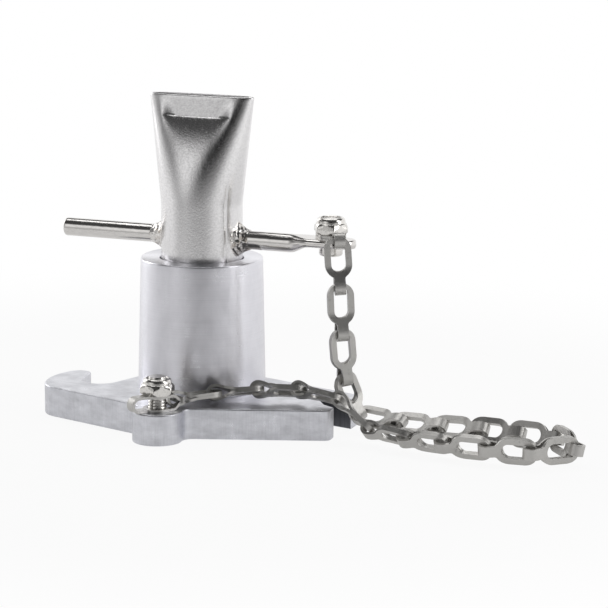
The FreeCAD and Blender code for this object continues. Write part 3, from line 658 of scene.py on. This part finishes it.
class CLAWKEY_OT_socket(bpy.types.Operator):
    """Turns the socket: a closed profile of radius and height swept round the Z axis"""
    bl_idname = "clawkey.socket"
    bl_label = "Socket"
    bl_options = {"REGISTER", "UNDO"}

    def execute(self, context):
        s, finishes = context.scene.claw_socket, context.scene.claw_finish
        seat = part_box("claw_plate")[1].z
        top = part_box("barrel")[1].z
        ring_low, ring_high = (corner.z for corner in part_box("seal_ring"))
        room = 0.15 * MM
        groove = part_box("seal_ring")[1].x + room
        corners = [
            (0, 0), (s.spigot_radius, 0), (s.spigot_radius, seat),
            (s.base_radius, seat), (s.top_radius, top), (s.bore_radius, top),
            (s.bore_radius, ring_high), (groove, ring_high), (groove, ring_low),
            (s.bore_radius, ring_low), (s.bore_radius, s.floor), (0, s.floor),
        ]
        foot_round, floor_round, mouth_round = 0.25 * MM, 0.5 * MM, s.edge_round * 1.4
        eased = [0, 0, 0, foot_round, s.edge_round, mouth_round, 0, 0, 0, 0, floor_round, 0]
        profile = rounded(corners, eased)
        upright = np.linspace(0, 1, 24)[1:-1, None]
        wall = np.array([s.base_radius, seat]) * (1 - upright) + np.array(
            [s.top_radius, top - s.edge_round]) * upright
        at = int(np.argmax(profile[:, 1] > seat + 1.2 * foot_round))
        profile = np.insert(profile, at, wall[1:], axis=0)
        mesh = surface("socket_surface", revolved(profile, 160))
        piece("socket_body", mesh, "plate", "turned_aluminium", socket_finish(finishes),
              "barrel")
        seal = frame["nodes"]["seal_ring"]
        seal.data.materials.clear()
        seal.data.materials.append(rubber_finish(finishes))
        return {"FINISHED"}


# ================================================================ key
def key_matrix(context):
    """The key's turn about the Z axis."""
    return Matrix.Rotation(context.scene.claw_key.turn, 4, "Z")


def pressed_levels(k, z, inset):
    """Half of the flat part, the long half axis of the round ends, then the half depth in the
    middle and at the sides, at heights z. The width grows evenly from the round tube to the
    mouth. The depth falls along a power of a sine of the height that is left, in the middle to
    the crimp and at the sides to the mouth, and the flat part grows as the sides fall."""
    onset = 0.06  # the share of the height over which the widening sets in
    widening = np.clip((z - k.round_top) / (k.mouth - k.round_top), 0, 1)
    widening = widening ** 2 / (widening + onset) * (1 + onset)
    left = np.clip((k.crimp - z) / (k.crimp - k.round_top), 0, 1)
    depth = k.mouth_half + (k.tube_radius - k.mouth_half) * np.sin(
        math.pi / 2 * left) ** k.press_power
    width = k.tube_radius + (k.mouth_wide - k.tube_radius) * widening
    depth = depth - k.mouth_taper * np.clip((z - k.crimp) / (k.mouth - k.crimp), 0, 1)
    mouth_depth = k.mouth_half - k.mouth_taper
    left = np.clip((k.mouth - z) / (k.mouth - k.round_top), 0, 1)
    side = mouth_depth + (k.tube_radius - mouth_depth) * np.sin(
        math.pi / 2 * left) ** k.side_power
    pressed = (k.tube_radius - side) / (k.tube_radius - mouth_depth)
    flat = k.mouth_flat * pressed ** k.flat_power
    return flat, width - flat - inset, depth - inset, side - inset


def oval(flat, long, middle, side, turn, crisp=5.0, sides_from=0.2, sides_full=0.56):
    """Points at angles turn on an ellipse that is parted in the middle. The parting follows
    the cosine of the angle over one plus crisp times its size, so the faces come out nearly
    flat and run softly into the round ends. The half depth goes from the middle's to the
    sides' between two sizes of the cosine."""
    cosine = np.cos(turn)
    parted = (1 + crisp) * cosine / (1 + crisp * np.abs(cosine))
    share = ease((np.abs(cosine) - sides_from) / (sides_full - sides_from))
    return long * cosine + flat * parted, (middle + (side - middle) * share) * np.sin(turn)


class CLAWKEY_OT_tube(bpy.types.Operator):
    """Presses the key's tube from round to a flat open mouth: an oval at each height, up the
    outside, over the lip and down the inside"""
    bl_idname = "clawkey.tube"
    bl_label = "Pressed Tube"
    bl_options = {"REGISTER", "UNDO"}

    def execute(self, context):
        k, finishes = context.scene.claw_key, context.scene.claw_finish
        foot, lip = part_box("key_tube")[0].z, k.mouth_lip
        plain = np.linspace(foot, k.round_top, 30)[:-1]
        closing = 1.6  # the rows draw closer towards the crimp
        pressed = k.round_top + (k.crimp - k.round_top) * (
            1 - (1 - np.linspace(0, 1, 90)) ** closing)
        mouth = np.linspace(k.crimp, k.mouth - lip, 8)[1:]
        z = np.concatenate([plain, pressed, mouth])
        arc = np.linspace(0, math.pi / 2, 6)[1:]
        path_z = np.concatenate([z, k.mouth - lip + lip * np.sin(arc),
                                 k.mouth - lip + lip * np.cos(arc), z[::-1]])
        wall = k.wall + (k.mouth_wall - k.wall) * ease((z - k.round_top) / (k.crimp - k.round_top))
        inset = np.concatenate([0 * z, lip * (1 - np.cos(arc)),
                                k.mouth_wall - lip + lip * np.sin(arc), wall[::-1]])
        flat, wide, deep, side = (level[:, None] for level in pressed_levels(k, path_z, inset))
        columns, crowding = 240, 0.32  # the columns crowd towards the round ends
        even = np.arange(columns) / columns * 2 * math.pi
        turn = even + crowding * np.sin(2 * even)
        x, y = oval(flat, wide, deep, side, turn[None])
        grid = points(x, y, path_z[:, None])
        mesh = surface("tube_surface", moved(grid, key_matrix(context)), sharp=60.0)
        tube = piece("tube_body", mesh, "key", "stainless",
                     tube_finish(finishes, k.seam, k.round_top), "key_tube")
        tube.data.materials.append(tube_inside_painted_shade(finishes))
        centre, normal = faces_of(mesh)
        outward = (centre * normal)[:, :2].sum(axis=1)
        rim = centre[:, 2] > k.mouth - lip
        # The inward faces below the rim take the painted shade of the hollow.
        mesh.polygons.foreach_set("material_index", (outward < 0) & ~rim)
        return {"FINISHED"}


class CLAWKEY_OT_bar(bpy.types.Operator):
    """Draws the T-bar: round, then hammered to a wide flat end with a round nose. Every section
    is a stadium across the bar, and a smooth step takes its half sizes and its level over"""
    bl_idname = "clawkey.bar"
    bl_label = "T-Bar"
    bl_options = {"REGISTER", "UNDO"}

    def execute(self, context):
        k, finishes = context.scene.claw_key, context.scene.claw_finish
        bevel = k.end_break
        end_x, end_in = np.array([0, 0, 0.15, 0.5, 1.0]), np.array([6, 1, 0.6, 0.2, 0])
        nose = k.bar_right - k.flat_half
        x = np.concatenate([
            end_x * bevel - k.bar_left,
            np.linspace(-k.bar_left + 2 * bevel, k.flare_start, 24),
            np.linspace(k.flare_start, k.flare_end, 24)[1:],
            np.linspace(k.flare_end, nose, 8)[1:],
            nose + k.flat_half * np.sin(np.linspace(0, math.pi / 2, 22))[1:],
        ])
        change = ease((x - k.flare_start) / (k.flare_end - k.flare_start))
        half_thick = k.bar_radius + (k.flat_thick / 2 - k.bar_radius) * change
        half_wide = k.bar_radius + (k.flat_half - k.bar_radius) * change
        half_wide = np.where(x > nose,
                             np.sqrt(np.clip(k.flat_half ** 2 - (x - nose) ** 2, 0, None)),
                             half_wide)
        half_thick = np.minimum(half_thick, half_wide)
        half_wide[:5] = half_thick[:5] = k.bar_radius - bevel * end_in
        half_wide[-1] = half_thick[-1] = JOIN / 20
        share = np.arange(64)[None] / 64
        y, z = stadium((half_wide - half_thick)[:, None], half_thick[:, None], share)
        level = k.bar_level + k.flat_rise * change
        grid = points(x[:, None], y, z + level[:, None])
        grid[0] = [x[0], 0, k.bar_level]
        mesh = surface("bar_surface", moved(grid, key_matrix(context)), wrap_rows=False)
        piece("bar_body", mesh, "key", "stainless_rod", bar_finish(finishes), "t_bar")
        return {"FINISHED"}


def weld_bead(k, side, rough, seed):
    """A bead round the bar. Each line of it runs from a foot on the tube to a toe on the bar
    along a hollow parabola. A sum of sines round the bar sways both ends, and a sine along the
    line, out of step by the same sum, swells its middle. The last two rows are buried."""
    around = np.arange(96) / 96 * 2 * math.pi
    along = np.linspace(0, 1, 22)[:, None]
    phase = np.random.default_rng(seed).uniform(0, 2 * math.pi, 6)
    wave = sum(np.sin((3 + 2 * i) * around + phase[i]) / (1.5 + i) for i in range(5))
    sway, swell, hollow = 0.25 * MM * rough, 0.16 * MM * rough, 0.9 * MM
    foot_r = k.weld_foot - 0.35 * MM + sway * wave
    foot_x = np.sqrt(k.tube_radius ** 2 - (foot_r * np.cos(around)) ** 2) - 0.1 * MM
    toe_r = np.full_like(around, k.bar_radius + 0.05 * MM)
    toe_x = k.tube_radius + k.weld_run - 0.5 * MM + sway * np.roll(wave, 11)
    knee_r, knee_x = toe_r + hollow, foot_x + hollow
    ripple = swell * np.sin(along * 19 + 2.5 * wave) * np.sin(math.pi * along)
    radius = ((1 - along) ** 2 * foot_r + 2 * along * (1 - along) * knee_r
              + along ** 2 * toe_r + ripple)
    x = (1 - along) ** 2 * foot_x + 2 * along * (1 - along) * knee_x + along ** 2 * toe_x
    buried_x = np.stack([toe_x - 0.3 * MM, foot_x - 0.8 * MM])
    rows = ((x, radius), (buried_x, toe_r - 0.5 * MM))
    return np.concatenate([points(side * out, r * np.cos(around),
                                  k.bar_level + r * np.sin(around)) for out, r in rows])


class CLAWKEY_OT_welds(bpy.types.Operator):
    """Runs a weld bead round the bar on each side of the tube, the right one rougher"""
    bl_idname = "clawkey.welds"
    bl_label = "Welds"
    bl_options = {"REGISTER", "UNDO"}

    def execute(self, context):
        k, finishes = context.scene.claw_key, context.scene.claw_finish
        metal = weld_finish(finishes)
        for node, side, rough, seed in (("weld_left", -1, 0.7, 3), ("weld_right", 1, 1.6, 8)):
            grid = moved(weld_bead(k, side, rough, seed), key_matrix(context))
            mesh = surface(f"{node}_surface", grid, sharp=80.0)
            piece(f"{node}_bead", mesh, "key", "weld", metal, node)
        return {"FINISHED"}


# ================================================================ fasteners
def lock_nut_grid(f):
    """A hexagon with broken corners, a shoulder and a rounded collar, open down the middle. Its
    radii are shares of the width across flats."""
    corner = f.flats / math.sqrt(3)
    tall = f.hexagon + f.collar
    sink = 0.3 * MM
    seat = f.thread_radius + sink
    profile = np.array([
        (f.thread_radius, sink), (seat, 0), (0.46 * f.flats, 0),
        (0.495 * f.flats, 0.02 * MM), (corner, 0.8 * MM), (corner, f.hexagon - 1.1 * MM),
        (0.50 * f.flats, f.hexagon - 0.2 * MM), (0.48 * f.flats, f.hexagon),
        (0.465 * f.flats, f.hexagon + 0.1 * MM), (0.46 * f.flats, f.hexagon + 0.35 * MM),
        (0.46 * f.flats, f.hexagon + 0.8 * MM), (0.45 * f.flats, tall - 0.75 * MM),
        (0.43 * f.flats, tall - 0.35 * MM), (0.40 * f.flats, tall - 0.1 * MM),
        (0.375 * f.flats, tall), (0.35 * f.flats, tall - 0.05 * MM),
        (seat, tall - 0.25 * MM), (seat, tall - f.insert_seat),
        (f.thread_radius, tall - f.insert_seat),
    ])
    return revolved(profile, 144, flats=f.flats)


def insert_grid(f, low):
    """The nylon ring inside the collar, its two upper edges broken."""
    inner, outer, high = f.thread_radius, f.thread_radius + 0.3 * MM, low + 1.1 * MM
    outer_break, inner_break = 0.1 * MM, 0.08 * MM
    profile = np.array([(inner, low), (outer, low), (outer, high - outer_break),
                        (outer - outer_break, high), (inner + inner_break, high),
                        (inner, high - inner_break)])
    return revolved(profile, 96)


def shank_grid(f, low, high, head=()):
    """A threaded shank from low to high. Its radius follows a wave whose height is the thread's
    depth; head is a run of radius and height that closes the lower end."""
    pitch, tip_break, ease_in = f.thread_pitch, 0.35 * MM, 0.03 * MM
    rows_a_turn = 8
    z = np.linspace(low, high - tip_break, int((high - low) / (pitch / rows_a_turn)))
    thread = f.thread_radius - ease_in - f.thread_depth * (
        0.5 - 0.5 * np.cos(2 * math.pi * z / pitch))
    tip = [(f.thread_radius - tip_break, high), (0, high)]
    profile = np.concatenate([np.array(head).reshape(-1, 2), np.stack([thread, z], axis=-1),
                              np.array(tip)])
    return revolved(profile, 96)


class CLAWKEY_OT_fasteners(bpy.types.Operator):
    """Makes the lock nuts, their nylon inserts, the tether bolt and the ear's screw"""
    bl_idname = "clawkey.fasteners"
    bl_label = "Fasteners"
    bl_options = {"REGISTER", "UNDO"}

    def execute(self, context):
        k, f = context.scene.claw_key, context.scene.claw_fastener
        finishes = context.scene.claw_finish
        metal, nylon = nut_finish(finishes), nylon_finish(finishes)
        tall = f.hexagon + f.collar
        bar_top = k.bar_level + k.flat_rise + k.flat_thick / 2
        bar_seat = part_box("bar_nut")[0].z
        bolt = key_matrix(context) @ Matrix.Translation((f.bolt_reach, 0, 0))
        screw = Matrix.Translation((f.ear_x, -f.ear_y, 0))
        ear_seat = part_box("ear_nut")[0].z

        for name, place, seat, body in (("bar", bolt, bar_seat, "key"),
                                        ("ear", screw, ear_seat, "plate")):
            spot = place @ Matrix.Translation((0, 0, seat))
            nut = surface(f"{name}_nut_surface", moved(lock_nut_grid(f), spot))
            piece(f"{name}_nut_body", nut, body, "fastener", metal, f"{name}_nut")
            ring = surface(f"{name}_insert_surface",
                           moved(insert_grid(f, tall - f.insert_seat), spot))
            piece(f"{name}_insert_body", ring, body, "nylon", nylon, f"{name}_nut_insert")

        under = bar_top - k.flat_thick
        low = under - f.head
        soft = rounded([(0, low), (f.head_radius, low), (f.head_radius, under)],
                       [0, 1.0 * MM, 0], closed=False)
        head = [*soft, (f.thread_radius, under)]
        grid = shank_grid(f, under + 0.1 * MM, bar_seat + tall - f.sunk, head)
        mesh = surface("bar_bolt_surface", moved(grid, bolt), wrap_rows=False)
        piece("bar_bolt_body", mesh, "key", "fastener", metal, "bar_bolt")

        sunk = [(0, 0), (f.sink_radius - 0.3 * MM, 0), (f.sink_radius, 0.2 * MM),
                (f.thread_radius, f.sink_radius - f.thread_radius)]
        grid = shank_grid(f, f.sink_radius - f.thread_radius + 0.1 * MM,
                          ear_seat + tall + f.proud, sunk)
        mesh = surface("ear_screw_surface", moved(grid, screw), wrap_rows=False)
        piece("ear_screw_body", mesh, "plate", "fastener", metal, "ear_screw")
        return {"FINISHED"}


# ================================================================ chain
# The way of the chain, as in the part: the middle of each link's end bar in millimetres, then
# the bearing and the rise of its width in degrees. A link points at the next line's place.
WAY = [
    (50.2, 7.2, 63.0, 44, 4),
    (51.2, 7.7, 48.1, 53, 10),
    (51.9, 8.0, 33.4, 64, 16),
    (52.7, 8.9, 19.1, 80, 26),
    (53.5, 14.8, 5.7, 89, 25),
    (67.0, 16.9, 4.9, 103, 34),
    (80.0, 20.8, 4.7, 111, 41),
    (91.5, 24.9, 4.8, 107, 52),
    (103.9, 28.6, 4.9, 101, 65),
    (117.6, 31.5, 5.1, 81, 77),
    (129.9, 24.4, 5.2, -11, 86),
    (122.8, 12.4, 5.1, -69, 77),
    (109.3, 7.5, 5.0, -75, 65),
    (96.1, 4.3, 4.8, -81, 53),
    (83.1, 3.1, 4.6, -83, 42),
    (68.8, 1.9, 5.4, -87, 36),
    (56.6, 1.5, 13.2, -77, 32),
    (43.7, -0.9, 14.7, -67, 30),
    (31.0, -7.1, 14.3, -55, 20),
    (21.4, -16.9, 13.6, -39, 6),
    (14.3, -28.8, 12.8, 0, 0),
]
BAR_HEADING, EAR_HEADING = -37.5, -105.0
OPEN_LINK = 6


def link_widths(c, x):
    """Half widths of the ring's outside and of its window at distances along the link. Past the
    middle of the ring's round end, the outside is a circle and the window a smaller one round
    the same point; a fillet tangent to the outer circle leads into the neck. The ring's other
    end is an arch, and the window's is square with small round corners."""
    middle = c.window_end - c.window
    start, blunt = np.clip((x + c.end_bar) / c.arch, 0, 1), 0.25
    outside = c.half * (blunt + (1 - blunt) * np.sqrt(1 - (1 - start) ** 2))
    end = middle + math.sqrt((c.half + c.fillet) ** 2 - (c.neck + c.fillet) ** 2)
    touch = middle + (end - middle) * c.half / (c.half + c.fillet)
    circle = np.sqrt(np.clip(c.half ** 2 - (x - middle) ** 2, 0, None))
    hollow = c.neck + c.fillet - np.sqrt(np.clip(c.fillet ** 2 - (x - end) ** 2, 0, None))
    outside = np.select([x < middle, x < touch, x < end], [outside, circle, hollow], c.neck)
    square = np.clip((x - c.end_bar) / c.corner, 0, 1)
    window = c.window - c.corner + c.corner * np.sqrt(1 - (1 - square) ** 2)
    close = np.clip((x - middle) / c.window, 0, 1)
    nearly_closed = 0.985
    window = window * np.sqrt(1 - nearly_closed * close ** 2)
    return outside, window


def link_grid(c, closed_to, parted_from, open_end=False, eye=None):
    """The middle of the strip as a grid: lines along the link from one ring's end over the fold
    to the other's, and seven points across. Returns the grid and which faces to keep."""
    middle = c.window_end - c.window
    neck = middle + math.sqrt((c.half + c.fillet) ** 2 - (c.neck + c.fillet) ** 2)
    quarter = np.linspace(0, math.pi / 2, 9)
    x = np.unique(np.concatenate([
        -c.end_bar + c.arch * (1 - np.cos(quarter)),
        c.end_bar + c.corner * (1 - np.cos(quarter[::2])),
        np.linspace(c.arch, middle, 5),
        middle + c.window * np.sin(quarter),
        np.linspace(c.window_end, neck, 9),
        np.linspace(neck, c.pitch, 6),
    ]).round(6))
    play = 0.01 * MM
    lift = c.sheet / 2 + play
    reach = c.fold + c.sheet / 2
    spread = ease((x - closed_to) / (parted_from - closed_to))
    leg_z = lift + (reach - lift) * spread
    turn = np.linspace(math.pi / 2, -math.pi / 2, 17)[1:-1]
    line_x = np.concatenate([x, c.pitch + reach * np.cos(turn), x[::-1]])
    line_z = np.concatenate([leg_z, reach * np.sin(turn), -leg_z[::-1]])
    flat_x = np.concatenate([x, np.full(len(turn), c.pitch), x[::-1]])
    outside, window = link_widths(c, flat_x)
    if eye is not None:
        bored = np.sqrt(np.clip(c.eye_radius ** 2 - (flat_x - eye) ** 2, 0, None))
        window = np.maximum(window, bored)
        outside = np.maximum(outside, window + c.eye_rim)
    beyond, inner = flat_x > c.window_end + play, 0.35
    window = np.where(beyond, outside * inner, window)
    window = np.where(flat_x < c.end_bar, c.window - c.corner, window)
    window = np.minimum(window, outside - c.eye_rim / 2)
    arm = (outside + window) / 2
    across = np.stack([-outside, -arm, -window, 0 * window, window, arm, outside], axis=1)
    grid = points(line_x[:, None], across, line_z[:, None])
    centre_x = (flat_x[:-1] + flat_x[1:]) / 2
    starts = -1.0 if open_end else c.end_bar
    in_window = (centre_x > starts) & (centre_x < c.window_end) & (np.abs(np.diff(flat_x)) > 0)
    keep = np.ones((len(line_x) - 1, across.shape[1] - 1), bool)
    keep[in_window, 2:4] = False
    return grid, keep


def lay(c):
    """Where each link of the way lies: its end bar slides along the fold before it until the
    fold crosses its rings in their middle."""
    places, before = [], None
    for (x, y, z, bearing, rise), after in zip(WAY[:-1], WAY[1:]):
        spot, aim = Vector((x, y, z)) * MM, Vector(after[:3]) * MM
        along = (aim - spot).normalized()
        if before:
            last_spot, last_along, last_across = before
            reach = c.hold + c.pitch - (spot - last_spot).length
            spot = spot - last_across * (reach * along.dot(last_across)
                                         * max(0.0, along.dot(last_along)))
            along = (aim - spot).normalized()
        flat = math.cos(math.radians(rise))
        across = Vector((flat * math.cos(math.radians(bearing)),
                         flat * math.sin(math.radians(bearing)), math.sin(math.radians(rise))))
        across = (across - along * across.dot(along)).normalized()
        places.append(framed(spot, along, across))
        before = (spot, along, across)
    return places


def framed(spot, along, across):
    """A link's matrix from its end bar, its length and its width."""
    matrix = Matrix((along, across, along.cross(across))).transposed().to_4x4()
    matrix.translation = spot
    return matrix


def clamped(bolt, heading, eye):
    """A level link whose eye is on a bolt."""
    turn = Matrix.Rotation(math.radians(heading), 4, "Z")
    return Matrix.Translation(bolt) @ turn @ Matrix.Translation((-eye, 0, 0))


class CLAWKEY_OT_chain(bpy.types.Operator):
    """Folds the links. Each is a strip of two rings, bent over at the neck, laid along the way"""
    bl_idname = "clawkey.chain"
    bl_label = "Chain"
    bl_options = {"REGISTER", "UNDO"}

    def execute(self, context):
        c, k, f = (context.scene.claw_chain, context.scene.claw_key,
                   context.scene.claw_fastener)
        strip = chain_finish(context.scene.claw_finish)
        plain = link_grid(c, c.parts_at, c.pitch)
        on_bar = link_grid(c, c.bar_parts_at, c.pitch, eye=c.bar_eye)
        on_ear = link_grid(c, c.end_bar, c.ear_parted_at, eye=c.ear_eye)
        opened = link_grid(c, c.parts_at, c.pitch, open_end=True)
        bar_middle = k.bar_level + k.flat_rise + k.flat_thick / 2 + c.sheet
        bolt = key_matrix(context) @ Vector((f.bolt_reach, 0, bar_middle))
        ear_middle = (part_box("claw_plate")[1].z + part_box("ear_nut")[0].z) / 2
        screw = Vector((f.ear_x, -f.ear_y, ear_middle))
        links = [(on_bar, clamped(bolt, BAR_HEADING, c.bar_eye))]
        links += [(plain, place) for place in lay(c)]
        links[OPEN_LINK - 1] = (opened, links[OPEN_LINK - 1][1])
        links.append((on_ear, clamped(screw, EAR_HEADING, c.ear_eye)))
        for number, ((grid, keep), place) in enumerate(links, start=1):
            node = f"chain_link_{number:02d}"
            mesh = surface(f"{node}_strip", moved(grid, place), False, False, keep)
            (body,) = body_of(frame["nodes"][node])
            link = piece(f"{node}_folded", mesh, body, "chain_steel", strip, node)
            modifier(link, "Strip thickness", "SOLIDIFY", thickness=c.sheet, offset=0.0,
                     use_even_offset=True, use_quality_normals=True)
            modifier(link, "Tumbled edges", "BEVEL", width=c.edge, segments=2,
                     limit_method="ANGLE", angle_limit=math.radians(50), harden_normals=True)
        return {"FINISHED"}


# ================================================================ stage
class StageSettings(bpy.types.PropertyGroup):
    bearing: bpy.props.FloatProperty(name="Bearing", description="Camera's bearing from the front",
                                     default=math.radians(41.0), subtype="ANGLE")
    height: bpy.props.FloatProperty(name="Height", description="Camera's angle above level",
                                    default=math.radians(10.2), subtype="ANGLE")
    distance: length("Distance", "Camera from the socket's top", 800.0)
    floor: length("Floor", "Radius of the floor", 330.0)
    target: length("Target", "Height of the point it is measured from", 53.0)
    pan: bpy.props.FloatProperty(name="Pan", description="Aim to the right of that point",
                                 default=math.radians(2.39), subtype="ANGLE")
    tilt: bpy.props.FloatProperty(name="Tilt", description="Aim below that point",
                                  default=math.radians(1.12), subtype="ANGLE")
    lens: bpy.props.FloatProperty(name="Lens", description="Focal length on a 36 mm sensor",
                                  default=144.7, subtype="DISTANCE_CAMERA")


def floor_material(base, reach):
    """A pale matt floor that keeps the shadow round the object and fades into the white
    background towards its edge."""
    f = Finish("pale_floor", base, roughness=0.9)
    f.feed(0.0, f.shader.inputs["Specular IOR Level"])
    away = f.add("VectorMath", operation="LENGTH")
    f.feed(f.place, away.inputs[0])
    share = f.span(away.outputs["Value"], 0.4 * reach, 0.85 * reach, 0.92, 1.0, "SMOOTHSTEP")
    path = f.add("LightPath")
    seen = f.maths("MULTIPLY_ADD", path.outputs["Is Glossy Ray"], 0.5,
                   path.outputs["Is Camera Ray"])
    mix, white = f.add("MixShader"), f.add("Emission")
    f.feed(f.maths("MULTIPLY", share, seen), mix.inputs["Fac"])
    f.feed(f.shader.outputs["BSDF"], mix.inputs[1])
    f.feed(white.outputs["Emission"], mix.inputs[2])
    f.feed(mix.outputs["Shader"], f.nodes["Material Output"].inputs["Surface"])
    return f.material


# Greys of the studio round the compass, by degrees to the right of the camera: its walls, and
# above them its dark front with a bright box on each side.
WALLS = [(-180, 1.1), (-144, 1.4), (-115, 1.3), (-88, 0.95), (-65, 0.5), (-48, 0.48),
         (-20, 0.38), (2, 0.38), (18, 0.5), (40, 1.0), (60, 1.25), (80, 1.1), (105, 1.3),
         (144, 1.4), (180, 1.1)]
FRONT = [(-180, 1.0), (-130, 1.2), (-102, 0.5), (-88, 0.2), (-68, 0.5), (-50, 1.0), (-36, 0.5),
         (-18, 0.04), (15, 0.04), (45, 0.06), (62, 0.2), (78, 0.7), (108, 1.1), (180, 1.0)]
CEILING = 0.06
# Each lamp's way from the middle of the view in metres, to the right, nearer and up; then its
# width and height in metres and its watts.
LAMPS = [("left_box", (-0.75, -0.7, 0.4), (0.5, 0.9), 2.4),
         ("right_box", (0.8, 0.3, 0.4), (0.4, 0.9), 2.2),
         ("top_box", (0, -0.3, 1.0), (0.9, 0.6), 3.0)]


def studio_world(bearing):
    """The studio that bright metal mirrors; the camera itself sees plain white."""
    world = bpy.data.worlds.new("Studio")
    bpy.context.scene.world = world
    world.use_nodes = True
    w = Nodes(world.node_tree)
    turn = w.add("Mapping")
    turn.inputs["Rotation"].default_value = (0, 0, math.pi / 2 - bearing)
    w.feed(w.add("TexCoord").outputs["Generated"], turn.inputs["Vector"])
    compass = w.add("TexGradient", gradient_type="RADIAL")
    w.feed(turn.outputs["Vector"], compass.inputs["Vector"])
    height = w.parts(turn.outputs["Vector"])["Z"]

    def ring(stops):
        """Greys round the compass, joined by smooth curves."""
        node = w.add("ValToRGB")
        node.color_ramp.interpolation = "CARDINAL"
        elements = node.color_ramp.elements
        while len(elements) < len(stops):
            elements.new(0.5)
        for element, (degrees, grey) in zip(elements, stops):
            element.position = 0.5 + degrees / 360
            element.color = (grey, grey, grey, 1.0)
        w.feed(compass.outputs["Fac"], node.inputs["Fac"])
        return node.outputs["Color"]

    above_walls = w.span(height, -0.15, 0.28, ramp="SMOOTHSTEP")
    ceiling = w.span(height, 0.46, 0.62, ramp="SMOOTHSTEP")
    room = w.between(ceiling, w.between(above_walls, ring(WALLS), ring(FRONT)), CEILING)
    camera = w.add("LightPath").outputs["Is Camera Ray"]
    w.feed(w.between(camera, room, 1.0), w.nodes["Background"].inputs["Color"])
    w.feed(1.0, w.nodes["Background"].inputs["Strength"])


def soft_light(name, place, aim, size, power):
    """A rectangular lamp, turned to what it lights."""
    data = bpy.data.lights.new(name, "AREA")
    data.shape = "RECTANGLE"
    data.size, data.size_y = size
    data.energy = power
    light = bpy.data.objects.new(name, data)
    bpy.context.scene.collection.objects.link(light)
    light.location = place
    light.rotation_euler = (Vector(aim) - Vector(place)).to_track_quat("-Z", "Y").to_euler()


class CLAWKEY_OT_stage(bpy.types.Operator):
    """Sets the floor, the studio light and the camera"""
    bl_idname = "clawkey.stage"
    bl_label = "Stage"
    bl_options = {"REGISTER", "UNDO"}

    def execute(self, context):
        s, finishes = context.scene.claw_stage, context.scene.claw_finish
        turn = np.arange(96) / 96 * 2 * math.pi
        reach = np.array([[s.floor], [0]])
        rings = points(reach * np.cos(turn), reach * np.sin(turn), 0)
        mesh = surface("floor_surface", rings, wrap_rows=False)
        floor = bpy.data.objects.new("floor", mesh)
        context.scene.collection.objects.link(floor)
        mesh.materials.append(floor_material(finishes.floor, s.floor))
        studio_world(s.bearing)

        level, side = math.cos(s.height), s.bearing
        toward = Vector((math.sin(side) * level, -math.cos(side) * level, math.sin(s.height)))
        point = Vector((0, 0, s.target))
        data = bpy.data.cameras.new("camera")
        data.lens, data.sensor_width = s.lens, 36.0
        data.clip_start, data.clip_end = 0.01, 50.0
        camera = bpy.data.objects.new("camera", data)
        context.scene.collection.objects.link(camera)
        aim = (-toward).to_track_quat("-Z", "Y").to_matrix().to_4x4()
        camera.matrix_world = (Matrix.Translation(point + toward * s.distance) @ aim
                               @ Matrix.Rotation(-s.pan, 4, "Y")
                               @ Matrix.Rotation(-s.tilt, 4, "X"))
        context.scene.camera = camera

        right = Vector((math.cos(side), math.sin(side), 0))
        ahead = Vector((toward.x, toward.y, 0)).normalized()
        for name, (aside, nearer, up), size, power in LAMPS:
            place = point + right * aside + ahead * nearer + Vector((0, 0, up))
            soft_light(name, place, point, size, power)
        context.scene.view_settings.view_transform = "Standard"
        return {"FINISHED"}


# ================================================================ panel and registration
class CLAWKEY_PT_panel(bpy.types.Panel):
    """Lists the pieces in the order they are made"""
    bl_label = "Claw Key"
    bl_idname = "CLAWKEY_PT_panel"
    bl_space_type = "VIEW_3D"
    bl_region_type = "UI"
    bl_category = "Claw Key"

    def draw(self, context):
        for operator in OPERATORS:
            self.layout.operator(operator.bl_idname)


SETTINGS = {
    "claw_plate": PlateSettings,
    "claw_socket": SocketSettings,
    "claw_key": KeySettings,
    "claw_fastener": FastenerSettings,
    "claw_chain": ChainSettings,
    "claw_finish": FinishSettings,
    "claw_stage": StageSettings,
}
OPERATORS = (CLAWKEY_OT_plate, CLAWKEY_OT_socket, CLAWKEY_OT_tube, CLAWKEY_OT_bar,
             CLAWKEY_OT_welds, CLAWKEY_OT_fasteners, CLAWKEY_OT_chain, CLAWKEY_OT_stage)


def register():
    for name, group in SETTINGS.items():
        bpy.utils.register_class(group)
        setattr(bpy.types.Scene, name, bpy.props.PointerProperty(type=group))
    for operator in OPERATORS:
        bpy.utils.register_class(operator)
    bpy.utils.register_class(CLAWKEY_PT_panel)


def unregister():
    bpy.utils.unregister_class(CLAWKEY_PT_panel)
    for operator in reversed(OPERATORS):
        bpy.utils.unregister_class(operator)
    for name, group in reversed(SETTINGS.items()):
        delattr(bpy.types.Scene, name)
        bpy.utils.unregister_class(group)


def main():
    register()
    bpy.ops.clawkey.plate()
    bpy.ops.clawkey.socket()
    bpy.ops.clawkey.tube()
    bpy.ops.clawkey.bar()
    bpy.ops.clawkey.welds()
    bpy.ops.clawkey.fasteners()
    bpy.ops.clawkey.chain()
    bpy.ops.clawkey.stage()


if __name__ == "__main__":
    main()
